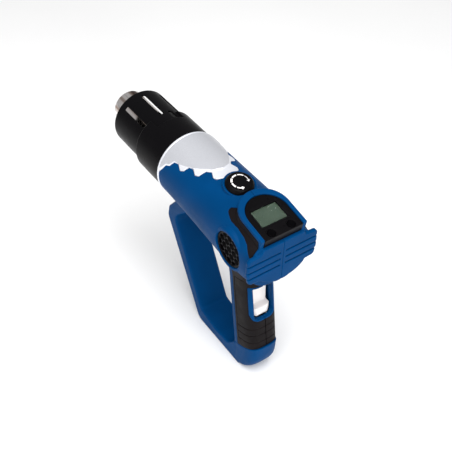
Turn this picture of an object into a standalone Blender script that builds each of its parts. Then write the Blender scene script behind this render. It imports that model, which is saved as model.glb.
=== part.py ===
"""Hot-air gun with a display, modelled as the separate pieces it is assembled from.

Lengths are in millimetres and are turned into metres where meshes are made. The barrel runs along X with
the nozzle towards +X, Y is the gun's left and Z is up. The gun stands on the flat foot of its guard loop.
The origin lies on the standing surface, under the middle of the gun's bounding box.
"""

import math

import bmesh
import bpy
from mathutils import Matrix, Vector

MM = 0.001
GAP = 0.3

# Barrel
AXIS_Z = 178.0
REAR_X = -133.5
MOUTH_X = 133.5
HEAD_R = 34.0
HEAD_FRONT_X = 16.5
HEAD_REAR_X = -131.0
WALL = 3.0
SPIGOT_R = 31.0
SPIGOT_END_X = 26.0

# Heat shield and hot-air tube
SHIELD_BACK_X = 19.4
SHIELD_FRONT_X = 109.0
SHIELD_REAR_R = 33.6
SHIELD_FRONT_R = 30.7
SHIELD_WALL = 2.0
SHIELD_TOP_STEP_X = 48.5
SHIELD_SIDE_STEP_X = 62.0
SLOT_ANGLES = (0, 41, -41, 139, -139, 180)
SLOT_START_X = 64.0
SLOT_END_X = 102.0
SLOT_WIDTH = 4.2
CATCH_ANGLES = (-18, 162)
TUBE_R = 17.0
TUBE_WALL = 0.6
TUBE_BACK_X = 6.0
FLANGE_X = 11.0

# Grip, which leans back towards its foot
GRIP_DEPTH = 20.0
GRIP_HALF_WIDTH = 17.2
GRIP_POWER = 3.2
GRIP_MIDDLE_X = -90.5
GRIP_MIDDLE_Z = 118.0
GRIP_LEAN = 0.1402
RUBBER = 2.0
FOOT_FRONT = (-87.0, 27.0)
FOOT_REAR = (-122.0, 43.0)

# Control panel: a plane that falls towards the rear
PANEL_TILT = math.radians(10.5)
PANEL_ORIGIN = Vector((-101.2, 0.0, AXIS_Z + 33.5))
BEZEL_HALF_WIDTH = 20.0
BEZEL_ARC_U = 8.0
BEZEL_END_U = 31.9
BEZEL_DEPTH = 5.8
SKIRT_DEPTH = 9.4
RIM_HALF_WIDTH = 24.3
RIM_ARC_U = 5.0
RIM_RISE = 0.9
PAD_CORE = 22.5
WINDOW_HALF_WIDTH = 13.3
WINDOW_LENGTH = 18.7
BUTTON_U = 27.1
BUTTON_Y = 10.4
BUTTON_R = 3.9

# Temperature knob
KNOB_CENTRE = Vector((-67.1, 0.0, AXIS_Z + 34.6))
KNOB_R = 13.5
KNOB_HEIGHT = 4.0
KNOB_SINK = 1.2

# Power rocker on the back of the grip
ROCKER_PIVOT = (-100.0, AXIS_Z - 83.0)
ROCKER_HALF_WIDTH = 9.7
WINDOW_TOP_Z = 118.5
WINDOW_BOTTOM_Z = 79.2
SWITCH_HALF_WIDTH = 11.1

# Intake grilles on both sides of the head
VENT_CENTRE = (-98.6, AXIS_Z - 3.2)
VENT_R = 17.6
VENT_BOSS_R = 21.0
VENT_BOSS_Y = 33.6
VENT_FACE_Y = 32.4
VENT_LEDGE_Y = 27.4
VENT_PITCH = 7.4
VENT_HOLE = 6.2

# Rear bumper
BUMPER_FRONT_X = -129.3
GROOVES_Z = (AXIS_Z + 5.4, AXIS_Z - 2.2, AXIS_Z - 9.6)

# Guard loop
GUARD_HALF_WIDTH = 16.8
CORD_X = -91.0
CORD_BORE_R = 4.6

# Blower
FAN_X = -28.0
FAN_R = 24.4
MOTOR_FRONT_X = -44.0
MOTOR_BACK_X = -80.0
BRACKET_X = -70.0
MOTOR_R = 15.0
SHAFT_R = 1.6

SCREWS = (
    ("housing_screw_front", 12.0, AXIS_Z - 27.0, 15.0),
    ("housing_screw_middle", -52.0, AXIS_Z - 28.0, 15.0),
    ("housing_screw_rear", -122.0, AXIS_Z - 20.0, 20.0),
    ("housing_screw_grip", -92.0, 125.0, 13.6),
    ("housing_screw_foot", -101.0, 66.0, 13.6),
)

SCREW_SEAT = 4.5

SIDE = Matrix.Rotation(math.pi / 2, 4, "X")
REAR = Matrix(((0, 0, 1, 0), (1, 0, 0, 0), (0, 1, 0, 0), (0, 0, 0, 1)))
PLAN = Matrix.Identity(4)
ALONG_X = Matrix.Rotation(math.pi / 2, 4, "Y")

PARTS = "heat_gun"
CUTTERS = "heat_gun_cutters"


# ---------------------------------------------------------------- scene, materials and placing


def clear_scene():
    for obj in list(bpy.data.objects):
        bpy.data.objects.remove(obj, do_unlink=True)
    for name in (PARTS, CUTTERS):
        bpy.context.scene.collection.children.link(bpy.data.collections.new(name))


def material(name, colour, roughness, metallic=0.0):
    made = bpy.data.materials.get(name)
    if made is None:
        made = bpy.data.materials.new(name)
        made.use_nodes = True
        shader = made.node_tree.nodes["Principled BSDF"]
        shader.inputs["Base Color"].default_value = (*colour, 1.0)
        shader.inputs["Roughness"].default_value = roughness
        shader.inputs["Metallic"].default_value = metallic
    return made


def blue():
    return material("blue_housing", (0.0, 0.11, 0.36), 0.42)


def black():
    return material("black_plastic", (0.012, 0.011, 0.012), 0.4)


def rubber():
    return material("soft_grip", (0.02, 0.015, 0.014), 0.7)


def silver():
    return material("silver_paint", (0.62, 0.63, 0.66), 0.3, 0.5)


def steel():
    return material("stainless_steel", (0.66, 0.63, 0.6), 0.22, 1.0)


def white():
    return material("white_plastic", (0.8, 0.78, 0.76), 0.4)


def board():
    return material("circuit_board", (0.02, 0.16, 0.07), 0.5)


def ceramic():
    return material("ceramic", (0.72, 0.7, 0.64), 0.8)


def mica():
    return material("mica", (0.5, 0.42, 0.26), 0.45)


def glass():
    return material("clear_window", (0.7, 0.75, 0.72), 0.08)


def lcd():
    return material("lcd_glass", (0.16, 0.22, 0.17), 0.3)


def tin():
    return material("zinc_plated", (0.5, 0.5, 0.5), 0.35, 1.0)


def aluminium():
    return material("aluminium", (0.6, 0.61, 0.62), 0.4, 1.0)


def brass():
    return material("brass", (0.6, 0.45, 0.18), 0.35, 1.0)


def put(name, mesh, finish=None, matrix=None):
    """A sub-part in the object's collection, or a cutter when it has no finish."""
    obj = bpy.data.objects.new(name, mesh)
    bpy.data.collections[PARTS if finish else CUTTERS].objects.link(obj)
    if matrix is not None:
        obj.matrix_world = matrix
    if finish:
        mesh.materials.append(finish)
    else:
        obj.hide_render = True
        obj.display_type = "WIRE"
    return obj


def at(x, y, z):
    return Matrix.Translation(Vector((x, y, z)) * MM)


def panel_place(origin=PANEL_ORIGIN):
    """Local x runs rearwards down the panel's slope, y towards the right and z out of the panel."""
    c, s = math.cos(PANEL_TILT), math.sin(PANEL_TILT)
    turn = Matrix(((-c, 0, -s, 0), (0, -1, 0, 0), (-s, 0, c, 0), (0, 0, 0, 1)))
    return Matrix.Translation(origin * MM) @ turn


def smooth(obj, angle=40):
    obj.data.shade_smooth()
    obj.data.set_sharp_from_angle(angle=math.radians(angle))


def boolean(target, operation, tool):
    change = target.modifiers.new(f"{operation.lower()} {tool.name}", "BOOLEAN")
    change.operation = operation
    change.object = tool
    change.solver = "EXACT"


def cut(target, *tools):
    for tool in tools:
        boolean(target, "DIFFERENCE", tool)


def many_cuts(target):
    """On the halves, with forty Booleans each, the exact solver leaves slivers open."""
    for change in target.modifiers:
        change.solver = "MANIFOLD"


def join(target, *tools):
    for tool in tools:
        boolean(target, "UNION", tool)


def keep(target, *tools):
    for tool in tools:
        boolean(target, "INTERSECT", tool)


# ---------------------------------------------------------------- shapes


def box(name, low, high, finish=None, place=None):
    """A box from its lowest to its highest corner, in the frame of place."""
    bm = bmesh.new()
    bmesh.ops.create_cube(bm, size=1.0)
    for vertex in bm.verts:
        for i in range(3):
            vertex.co[i] = MM * (low[i] if vertex.co[i] < 0 else high[i])
    mesh = bpy.data.meshes.new(name)
    bm.to_mesh(mesh)
    bm.free()
    return put(name, mesh, finish, place)


def rod(name, radius, start, end, finish=None, place=None, segments=20):
    """A cylinder along local Z from start to end."""
    bm = bmesh.new()
    bmesh.ops.create_cone(
        bm,
        cap_ends=True,
        segments=segments,
        radius1=radius * MM,
        radius2=radius * MM,
        depth=(end - start) * MM,
    )
    bmesh.ops.translate(bm, verts=bm.verts, vec=(0, 0, (start + end) / 2 * MM))
    mesh = bpy.data.meshes.new(name)
    bm.to_mesh(mesh)
    bm.free()
    obj = put(name, mesh, finish, place)
    smooth(obj)
    return obj


def cross_rod(name, radius, x, z, low_y, high_y, finish=None, segments=16):
    """A cylinder along Y, from low_y to high_y."""
    place = at(x, 0, z) @ Matrix.Rotation(-math.pi / 2, 4, "X")
    return rod(name, radius, low_y, high_y, finish, place, segments)


def turned(name, profile, finish=None, place=None, steps=32, closed=False):
    """A profile of (radius, height) points, from the top down its outer side, swept round local Z."""
    bm = bmesh.new()
    points = [bm.verts.new((r * MM, 0, h * MM)) for r, h in profile]
    for a, b in zip(points, points[1:]):
        bm.edges.new((a, b))
    if closed:
        bm.edges.new((points[-1], points[0]))
    mesh = bpy.data.meshes.new(name)
    bm.to_mesh(mesh)
    bm.free()
    obj = put(name, mesh, finish, place)
    screw = obj.modifiers.new("turn", "SCREW")
    screw.steps = screw.render_steps = steps
    screw.use_merge_vertices = True
    screw.merge_threshold = 0.00001
    screw.use_smooth_shade = True
    return obj


def tube(name, outer, inner, start, end, finish=None, place=None, steps=32):
    """A turned sleeve along local Z."""
    profile = ((outer, end), (outer, start), (inner, start), (inner, end))
    return turned(name, profile, finish, place, steps, closed=True)


def rounded(corners, arc_steps=4):
    """An outline whose corners (x, y, radius) are rounded by arcs."""
    points = []
    count = len(corners)
    for i, (x, y, radius) in enumerate(corners):
        corner = Vector((x, y))
        if radius <= 0:
            points.append((x, y))
            continue
        before = (Vector(corners[i - 1][:2]) - corner).normalized()
        after = (Vector(corners[(i + 1) % count][:2]) - corner).normalized()
        half = before.angle(after) / 2
        run = radius / math.tan(half)
        centre = corner + (before + after).normalized() * radius / math.sin(half)
        start = corner + before * run - centre
        sweep = start.angle_signed(corner + after * run - centre)
        for step in range(arc_steps + 1):
            turn = Matrix.Rotation(-sweep * step / arc_steps, 2)
            points.append(tuple(centre + turn @ start))
    return points


def shrunk(points, distance):
    """An outline moved inwards by distance all round, or outwards when distance is negative."""
    count = len(points)
    area = sum(points[i - 1][0] * points[i][1] - points[i][0] * points[i - 1][1] for i in range(count))
    moved = []
    for i, point in enumerate(points):
        before = (Vector(point) - Vector(points[i - 1])).normalized()
        after = (Vector(points[(i + 1) % count]) - Vector(point)).normalized()
        inward = Vector((-before.y - after.y, before.x + after.x)) * math.copysign(1, area)
        moved.append(tuple(Vector(point) + inward * distance / (1 + before.dot(after))))
    return moved


def plate(name, outline, low, high, finish=None, place=PLAN, edge=0.0):
    """A flat outline filled and extruded along local Z from low to high, with edges rounded by edge."""
    curve = bpy.data.curves.new(name, "CURVE")
    curve.dimensions = "2D"
    curve.fill_mode = "BOTH"
    curve.extrude = ((high - low) / 2 - edge) * MM
    curve.bevel_depth = edge * MM
    curve.bevel_resolution = 1
    curve.offset = -edge * MM
    spline = curve.splines.new("POLY")
    spline.points.add(len(outline) - 1)
    for point, (x, y) in zip(spline.points, outline):
        point.co = (x * MM, y * MM, 0, 1)
    spline.use_cyclic_u = True
    guide = bpy.data.objects.new(name + "_outline", curve)
    bpy.context.scene.collection.objects.link(guide)
    graph = bpy.context.evaluated_depsgraph_get()
    mesh = bpy.data.meshes.new_from_object(guide.evaluated_get(graph))
    bpy.data.objects.remove(guide, do_unlink=True)
    bm = bmesh.new()
    bm.from_mesh(mesh)
    bmesh.ops.remove_doubles(bm, verts=bm.verts, dist=0.00001)
    bmesh.ops.recalc_face_normals(bm, faces=bm.faces)
    bm.to_mesh(mesh)
    bm.free()
    mesh.materials.clear()
    return put(name, mesh, finish, place @ at(0, 0, (low + high) / 2))


def loft(name, rings, finish=None):
    """A closed solid through rings of as many points each."""
    bm = bmesh.new()
    loops = [[bm.verts.new(Vector(p) * MM) for p in ring] for ring in rings]
    count = len(loops[0])
    for a, b in zip(loops, loops[1:]):
        for i in range(count):
            j = (i + 1) % count
            bm.faces.new((a[i], a[j], b[j], b[i]))
    bm.faces.new(loops[0])
    bm.faces.new(loops[-1])
    bmesh.ops.recalc_face_normals(bm, faces=bm.faces)
    mesh = bpy.data.meshes.new(name)
    bm.to_mesh(mesh)
    bm.free()
    obj = put(name, mesh, finish)
    smooth(obj, 30)
    return obj


def power_point(angle, half_x, half_y, power):
    """A point of a superellipse, which is squarer the higher its power."""
    c, s = math.cos(angle), math.sin(angle)
    return (
        math.copysign(half_x * abs(c) ** (2 / power), c),
        math.copysign(half_y * abs(s) ** (2 / power), s),
    )


def wire(name, points, radius, finish, sides=0):
    """A lead through points, as a tube with closed ends."""
    curve = bpy.data.curves.new(name, "CURVE")
    curve.dimensions = "3D"
    curve.bevel_depth = radius * MM
    curve.bevel_resolution = sides
    curve.use_fill_caps = True
    spline = curve.splines.new("POLY")
    spline.points.add(len(points) - 1)
    for point, place in zip(spline.points, points):
        point.co = (*(Vector(place) * MM), 1)
    obj = bpy.data.objects.new(name, curve)
    bpy.data.collections[PARTS].objects.link(obj)
    curve.materials.append(finish)
    return obj


# ---------------------------------------------------------------- the housing's forms


def head_section(x, half_width, up, down, power, grow=0.0, count=36):
    """Round above the axis and squarer below it, where the grip takes over."""
    ring = []
    for i in range(count):
        angle = 2 * math.pi * i / count
        above = math.sin(angle) >= 0
        height = (up if above else down) + grow
        y, z = power_point(angle, half_width + grow, height, 2.0 if above else power)
        ring.append((x, y, AXIS_Z + z))
    return ring


def head(name, grow=0.0, front=HEAD_FRONT_X, rear=HEAD_REAR_X, finish=None, count=36):
    stations = (
        (front, HEAD_R, HEAD_R, 34.0, 2.0),
        (-12.0, HEAD_R, HEAD_R, 34.6, 2.1),
        (-42.0, HEAD_R, HEAD_R, 35.6, 2.3),
        (-70.0, 34.2, HEAD_R, 36.2, 2.6),
        (-90.0, 34.6, 33.6, 36.6, 2.8),
        (-108.0, 34.6, 32.6, 36.0, 2.8),
        (-121.0, 34.0, 30.0, 34.5, 2.7),
        (rear, 32.5, 26.0, 31.5, 2.6),
    )
    return loft(name, [head_section(*s, grow=grow, count=count) for s in stations], finish)


def grip_x(z):
    return GRIP_MIDDLE_X + GRIP_LEAN * (z - GRIP_MIDDLE_Z)


def grip_section(z, grow=0.0, flare=0.0, shift=0.0, count=32):
    ring = []
    for i in range(count):
        angle = 2 * math.pi * i / count
        depth = GRIP_DEPTH + flare + grow
        width = GRIP_HALF_WIDTH + 1.1 * flare + grow
        x, y = power_point(angle, depth, width, GRIP_POWER - 0.08 * flare)
        ring.append((grip_x(z) + shift + x, y, z))
    return ring


def grip(name, grow=0.0, bottom=20.0, top=156.0, finish=None, count=32):
    """The handle, which flares where it meets the head."""
    stations = (
        (bottom, 0.0, 0.0),
        (118.0, 0.0, 0.0),
        (130.0, 0.8, 0.0),
        (138.0, 2.6, -0.5),
        (145.0, 6.0, -1.5),
        (150.0, 9.5, -3.0),
        (top, 13.0, -4.0),
    )
    rings = [grip_section(z, grow, flare, shift, count) for z, flare, shift in stations]
    return loft(name, rings, finish)


def panel_outline(half_width, arc_u, end_u, steps=12):
    """A D lying on the panel: round in front and square at the rear."""
    points = [(end_u, -half_width), (end_u, half_width)]
    for i in range(steps + 1):
        angle = math.pi / 2 + math.pi * i / steps
        points.append((arc_u + half_width * math.cos(angle), half_width * math.sin(angle)))
    return points


def bumper_outline():
    """Half of the bumper, seen from behind, mirrored: wide and ribbed, with a round skirt under the middle."""
    half = [
        (21.5, 18.5),
        (24.5, 13.6),
        (35.0, 12.8),
        (37.2, 10.0),
        (37.5, -6.0),
        (36.0, -15.0),
        (33.5, -17.0),
        (24.0, -17.6),
        (18.5, -22.6),
        (12.0, -26.6),
        (5.5, -29.2),
    ]
    left = [(y, AXIS_Z + z) for y, z in half]
    right = [(-y, z) for y, z in reversed(left)]
    return left + right


def foot_plane_tool(name, side):
    """A block whose face is the slanting joint between the handle and its foot; side +1 lies above it."""
    front, rear = Vector(FOOT_FRONT), Vector(FOOT_REAR)
    angle = math.atan2(rear.y - front.y, front.x - rear.x)
    middle = (front + rear) / 2
    place = at(middle.x, 0, middle.y) @ Matrix.Rotation(angle, 4, "Y")
    low = (-250, -60, 0) if side > 0 else (-250, -60, -90)
    high = (250, 60, 260) if side > 0 else (250, 60, 0)
    return box(name, low, high, place=place @ at(0, 0, GAP / 2 * side))


def rubber_region(name, inset):
    """Side view of the soft grip: below the grille, behind the blue front edge and round the switch."""

    def along(z, offset):
        return (grip_x(z) + offset, z)

    outline = [
        along(10.0, 6.5 - inset),
        along(146.5 - inset, 6.5 - inset),
        along(147.0 - inset, -50.0),
        along(120.5 + inset, -50.0),
        along(120.5 + inset, -14.1 + inset),
        along(86.0, -14.1 + inset),
        along(79.6 - inset, -17.2),
        along(76.2 - inset, -21.0),
        along(76.0 - inset, -50.0),
        along(10.0, -50.0),
    ]
    return plate(name, outline, -45, 45, place=SIDE)


def inlay_region(name, inset):
    """Side view of the curved strip between the grille and the control panel."""
    upper = [(-79.5, 26.5), (-87.0, 29.0), (-94.5, 31.8), (-128.6, 25.5)]
    lower = [
        (-128.6, 7.2),
        (-124.3, 10.8),
        (-118.8, 16.6),
        (-112.3, 19.5),
        (-102.2, 21.4),
        (-91.5, 21.8),
        (-85.0, 24.0),
    ]
    outline = rounded([(x, AXIS_Z + z, 1.5) for x, z in upper + lower], 2)
    return plate(name, shrunk(outline, inset), -45, 45, place=SIDE)


def cap_outline(inset):
    """Plan view of the silver cap, whose side edges are cut like torn teeth."""
    half = [
        (HEAD_FRONT_X + 1.0, 33.4),
        (12.1, 31.4),
        (9.6, 29.3),
        (4.8, 28.2),
        (1.5, 24.6),
        (-3.5, 23.8),
        (-9.5, 26.2),
        (-14.0, 24.8),
        (-16.6, 20.2),
        (-21.2, 19.0),
        (-27.3, 21.4),
        (-31.8, 20.2),
        (-34.0, 13.4),
        (-38.6, 10.4),
        (-45.0, 13.2),
        (-48.6, 12.0),
        (-51.8, 7.5),
    ]
    return shrunk(half + [(x, -y) for x, y in reversed(half)], inset)


# ---------------------------------------------------------------- housing


def half_space(name, side):
    low, high = (GAP / 2, 60) if side > 0 else (-60, -GAP / 2)
    return box(name, (-200, low, -50), (200, high, 300))


def screw_tools():
    """Bosses inside the halves, and the bores and counterbores that run through them."""
    bosses, bores = [], []
    for name, x, z, reach in SCREWS:
        bosses.append(cross_rod(name + "_boss", 3.6, x, z, -reach, reach, segments=12))
        bores.append(cross_rod(name + "_bore", 1.9, x, z, -reach - 1, reach - 2, segments=8))
        bores.append(cross_rod(name + "_recess", 3.4, x, z, -45, SCREW_SEAT - reach, segments=12))
    return bosses, bores


def housing():
    """Both halves of the clamshell: head, control panel frame, bumper and handle core."""
    axis = at(0, 0, AXIS_Z) @ ALONG_X
    shared = {
        "grip": grip("grip_form"),
        "cavity": head("head_cavity", -WALL, 6.0, -124.0, count=20),
        "grip_cavity": grip("grip_cavity", -RUBBER - 2.6, 18.0, 152.0, count=16),
        "spigot": rod("spigot", SPIGOT_R, 0, SPIGOT_END_X, place=axis, segments=32),
        "above_foot": foot_plane_tool("above_foot", 1),
    }
    bezel = panel_outline(BEZEL_HALF_WIDTH + GAP, BEZEL_ARC_U, BEZEL_END_U + 12)
    rim = panel_outline(RIM_HALF_WIDTH, RIM_ARC_U, 31.8)
    well = panel_outline(BEZEL_HALF_WIDTH - 1.8, BEZEL_ARC_U, 30.0)
    pad = plate("panel_pad", rim, -16, RIM_RISE, place=panel_place(), edge=1.2)
    core = panel_outline(PAD_CORE, RIM_ARC_U, 60.0)
    seat = plate("bezel_seat", bezel, -BEZEL_DEPTH - GAP, 12, place=panel_place())
    skirt_low = (BEZEL_END_U - 2.0, -BEZEL_HALF_WIDTH - GAP, -SKIRT_DEPTH - GAP)
    skirt_seat = box("skirt_seat", skirt_low, (60.0, BEZEL_HALF_WIDTH + GAP, 12), place=panel_place())
    panel_well = plate("panel_well", well, -26, 0, place=panel_place())
    knob_place = panel_place(KNOB_CENTRE)
    knob_boss = rod("knob_boss", KNOB_R + 1.8, -9, -KNOB_SINK + 0.6, place=knob_place, segments=24)
    knob_seat = rod("knob_seat", KNOB_R + 0.6, -KNOB_SINK - GAP, 12, place=knob_place, segments=24)
    knob_hole = rod("knob_hole", 4.4, -20, 0, place=knob_place, segments=16)
    bumper = plate("bumper_form", bumper_outline(), REAR_X, BUMPER_FRONT_X, place=REAR, edge=1.4)
    tube_bore = rod("tube_bore", TUBE_R + GAP, -1, 40, place=axis, segments=32)
    flange_slot = rod("flange_slot", 23.1, FLANGE_X - 1.4, FLANGE_X + 1.4, place=axis, segments=24)
    cap_cut = plate("cap_pocket", cap_outline(-GAP), AXIS_Z + 4, AXIS_Z + 45)
    cap_core = head("cap_core", -2.3)
    rubber_cut = rubber_region("rubber_pocket", 0.0)
    rubber_core = grip("rubber_core", -RUBBER)
    inlay_cut = inlay_region("inlay_pocket", 0.0)
    inlay_core = head("inlay_core", -1.6)
    cut(cap_cut, cap_core)
    cut(rubber_cut, rubber_core)
    cut(inlay_cut, inlay_core, plate("inlay_pad_core", core, -30, 12, place=panel_place()))
    tongue_slot = box("tongue_slot", (-8.3, -7.3, 138), (6.3, 7.3, 156))
    post_socket = box("post_socket", (-106.5, -9.0, 20), (-84.5, 9.0, 56.5))
    window = plate("switch_window", window_outline(), -130, -94, place=REAR)
    vent_bosses, vent_cuts = vent_tools()
    grooves = groove_tools()
    bosses, bores = screw_tools()
    for name, side in (("housing_left", 1), ("housing_right", -1)):
        half = head(name, finish=blue())
        join(half, shared["grip"])
        cut(half, cap_cut, rubber_cut)
        join(half, pad)
        cut(half, inlay_cut)
        join(half, knob_boss, bumper, shared["spigot"])
        cut(half, shared["cavity"], shared["grip_cavity"], panel_well)
        join(half, *bosses, *vent_bosses)
        cut(half, seat, skirt_seat, knob_seat, knob_hole, tube_bore, flange_slot, tongue_slot, post_socket)
        cut(half, window, *vent_cuts, *grooves, *bores)
        keep(half, shared["above_foot"], half_space(name + "_side", side))
        many_cuts(half)


def window_outline():
    """The switch's opening seen from behind, with round lower corners."""
    half = SWITCH_HALF_WIDTH
    top, bottom = WINDOW_TOP_Z, WINDOW_BOTTOM_Z
    return rounded([(-half, top, 0), (-half, bottom, 4.5), (half, bottom, 4.5), (half, top, 0)])


def vent_tools():
    """Round bosses that frame the grilles, with their seats and air holes."""
    bosses, cuts = [], []
    x, z = VENT_CENTRE
    for side in (1, -1):
        name = "left" if side > 0 else "right"
        spans = {
            "vent_boss_": (VENT_BOSS_R, VENT_LEDGE_Y, VENT_BOSS_Y, bosses),
            "vent_seat_": (VENT_R + GAP, VENT_FACE_Y - 2.4, 45.0, cuts),
            "vent_hole_": (VENT_R - 2.2, 10.0, 45.0, cuts),
        }
        for kind, (radius, near, far, group) in spans.items():
            low, high = sorted((near * side, far * side))
            group.append(cross_rod(kind + name, radius, x, z, low, high, segments=24))
    return bosses, cuts


def groove_tools():
    """Three grooves on each side of the bumper, which break out at its ends."""
    cutters = []
    for i, z in enumerate(GROOVES_Z):
        for side in (1, -1):
            low, high = sorted((2.6 * side, 45.0 * side))
            corners = (REAR_X - 3, low, z - 0.75), (REAR_X + 1.6, high, z + 0.75)
            cutters.append(box(f"bumper_groove_{i}_{'left' if side > 0 else 'right'}", *corners))
    return cutters


def housing_screws():
    for name, x, z, reach in SCREWS:
        profile = ((0, 2.2), (2.2, 2.2), (3.0, 1.2), (3.0, 0.0), (1.5, 0.0), (1.5, -15.0), (0, -17.0))
        place = at(x, SCREW_SEAT - GAP - reach, z) @ Matrix.Rotation(math.pi / 2, 4, "X")
        screw = turned(name, profile, tin(), place, steps=8)
        slot = box(name + "_slot", (-2.2, -0.4, 1.3), (2.2, 0.4, 3.0), place=place)
        cut(screw, slot)


def vent_grilles():
    """Round inserts with a honeycomb of air holes."""
    x, z = VENT_CENTRE
    for name, side in (("vent_grille_left", 1), ("vent_grille_right", -1)):
        low, high = sorted(((VENT_FACE_Y - 2.0) * side, VENT_FACE_Y * side))
        grille = cross_rod(name, VENT_R, x, z, low, high, black(), 24)
        for row in range(-2, 3):
            for column in range(-2, 3):
                across = (column + 0.5 * (row % 2)) * VENT_PITCH
                up = row * VENT_PITCH * math.sqrt(3) / 2
                if math.hypot(across, up) > VENT_R - 4.0:
                    continue
                hole = (x + across, z + up, *sorted((20 * side, 45 * side)))
                cut(grille, cross_rod(f"{name}_hole_{row}_{column}", VENT_HOLE / 2, *hole, segments=6))


def soft_parts():
    """Soft grip halves and the strips beside the control panel."""
    for name, side in (("left", 1), ("right", -1)):
        half = half_space(f"soft_{name}_side", side)
        skin = grip("grip_rubber_" + name, finish=rubber())
        core = grip(f"rubber_inner_{name}", GAP - RUBBER)
        region = rubber_region(f"rubber_region_{name}", GAP)
        under_head = head(f"under_head_{name}", GAP)
        boss = cross_rod(f"vent_clearance_{name}", VENT_BOSS_R + GAP, *VENT_CENTRE, -45, 45, segments=24)
        screw_hole = cross_rod(f"rubber_screw_hole_{name}", 3.4, -101.0, 66.0, -45, 0, segments=12)
        second_hole = cross_rod(f"rubber_second_hole_{name}", 3.4, -92.0, 125.0, -45, 0, segments=12)
        keep(skin, region, half, foot_plane_tool(f"rubber_above_foot_{name}", 1))
        cut(skin, core, under_head, boss, screw_hole, second_hole)
        strip = head("side_inlay_" + name, finish=rubber())
        strip_core = head(f"inlay_inner_{name}", GAP - 1.6)
        wall = plate(
            f"strip_wall_{name}",
            panel_outline(RIM_HALF_WIDTH, RIM_ARC_U, 31.8),
            -16,
            RIM_RISE,
            place=panel_place(),
        )
        core = panel_outline(PAD_CORE + GAP, RIM_ARC_U, 60.0)
        join(strip, wall)
        keep(strip, inlay_region(f"inlay_region_{name}", GAP), half)
        cut(strip, strip_core, plate(f"pad_clearance_{name}", core, -30, 12, place=panel_place()), boss)


def silver_cap():
    cap = head("silver_cap", 0.7, HEAD_FRONT_X - GAP, -60.0, silver())
    keep(cap, plate("cap_region", cap_outline(0.0), AXIS_Z + 4 + GAP, AXIS_Z + 45))
    cut(cap, head("cap_inner", GAP - 2.3))
    knob = rod("cap_knob_clearance", KNOB_R + 2.1, -20, 20, place=panel_place(KNOB_CENTRE), segments=32)
    cut(cap, knob)
    axis = at(0, 0, AXIS_Z) @ ALONG_X
    tube("collar_ring", HEAD_R + 0.6, SPIGOT_R + GAP, 16.8, 19.1, silver(), axis, 28)


def guard_loop():
    """Strut and foot in one moulding: it keys into the belly and into the end of the handle."""
    outline = rounded(
        [
            (-20.0, 150.0, 0),
            (10.0, 146.0, 0),
            (30.5, 121.5, 7),
            (33.0, 108.0, 12),
            (-23.0, 2.8, 6),
            (-30.0, 0.0, 6),
            (-99.0, 0.0, 0),
            (-99.0, 30.0, 0),
            (-89.5, 27.5, 3),
            (-80.0, 14.2, 12),
            (-56.0, 13.0, 30),
            (-29.5, 18.0, 5),
            (19.5, 115.0, 12),
            (-2.0, 136.0, 12),
            (-26.0, 143.0, 0),
        ],
        3,
    )
    loop = plate("guard_loop", outline, -GUARD_HALF_WIDTH, GUARD_HALF_WIDTH, blue(), SIDE, 2.0)
    heel = loft("guard_heel", heel_rings())
    keep(heel, foot_plane_tool("below_foot", -1))
    belly = head("guard_belly_clearance", GAP)
    tongue = box("guard_tongue", (-8.0, -7.0, 137), (6.0, 7.0, 147.8))
    post = box("guard_post", (-106.2, -8.7, 20), (-84.8, 8.7, 56))
    hollow = rod("guard_cord_bore", CORD_BORE_R, -5, 80, place=at(CORD_X, 0, 0), segments=20)
    seat = rod("guard_grommet_seat", 7.4, -5, 3.2, place=at(CORD_X, 0, 0), segments=20)
    clear = foot_plane_tool("guard_under_handle", 1)
    keep_out = box("guard_handle_zone", (-140, -40, 20), (-84, 40, 90))
    keep(clear, keep_out)
    cut(loop, belly, clear)
    join(loop, heel, tongue, post)
    cut(loop, hollow, seat)


def heel_rings():
    """The rounded heel under the handle, from the standing surface up."""
    levels = ((0.0, -97.0, 14.8), (1.6, -104.0, 16.2), (5.5, -110.4, 17.0), (12.0, -116.2, 17.2))
    levels += ((24.0, -121.4, 17.2), (50.0, -123.4, 17.2))
    rings = []
    for z, rear_x, half_width in levels:
        front_x = grip_x(max(z, 20.0)) + GRIP_DEPTH
        middle = (front_x + rear_x) / 2
        ring = []
        for i in range(24):
            x, y = power_point(2 * math.pi * i / 24, (front_x - rear_x) / 2, half_width, GRIP_POWER)
            ring.append((middle + x, y, z))
        rings.append(ring)
    return rings


def cord_inlet():
    """Grommet in the underside of the foot, and the clamp and terminals inside the handle."""
    profile = ((4.2, 18.0), (4.2, 2.8), (7.0, 2.8), (7.0, 0.6), (3.2, 0.6), (3.2, 18.0))
    turned("cord_grommet", profile, rubber(), at(CORD_X, 0, 0), 16, closed=True)
    box("cord_clamp", (-101.5, -9.5, 58.2), (-88.5, 9.5, 62.0), black())
    box("terminal_block", (-103.0, -9.0, 71.0), (-91.0, 9.0, 75.4), white())


# ---------------------------------------------------------------- hot end


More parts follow.
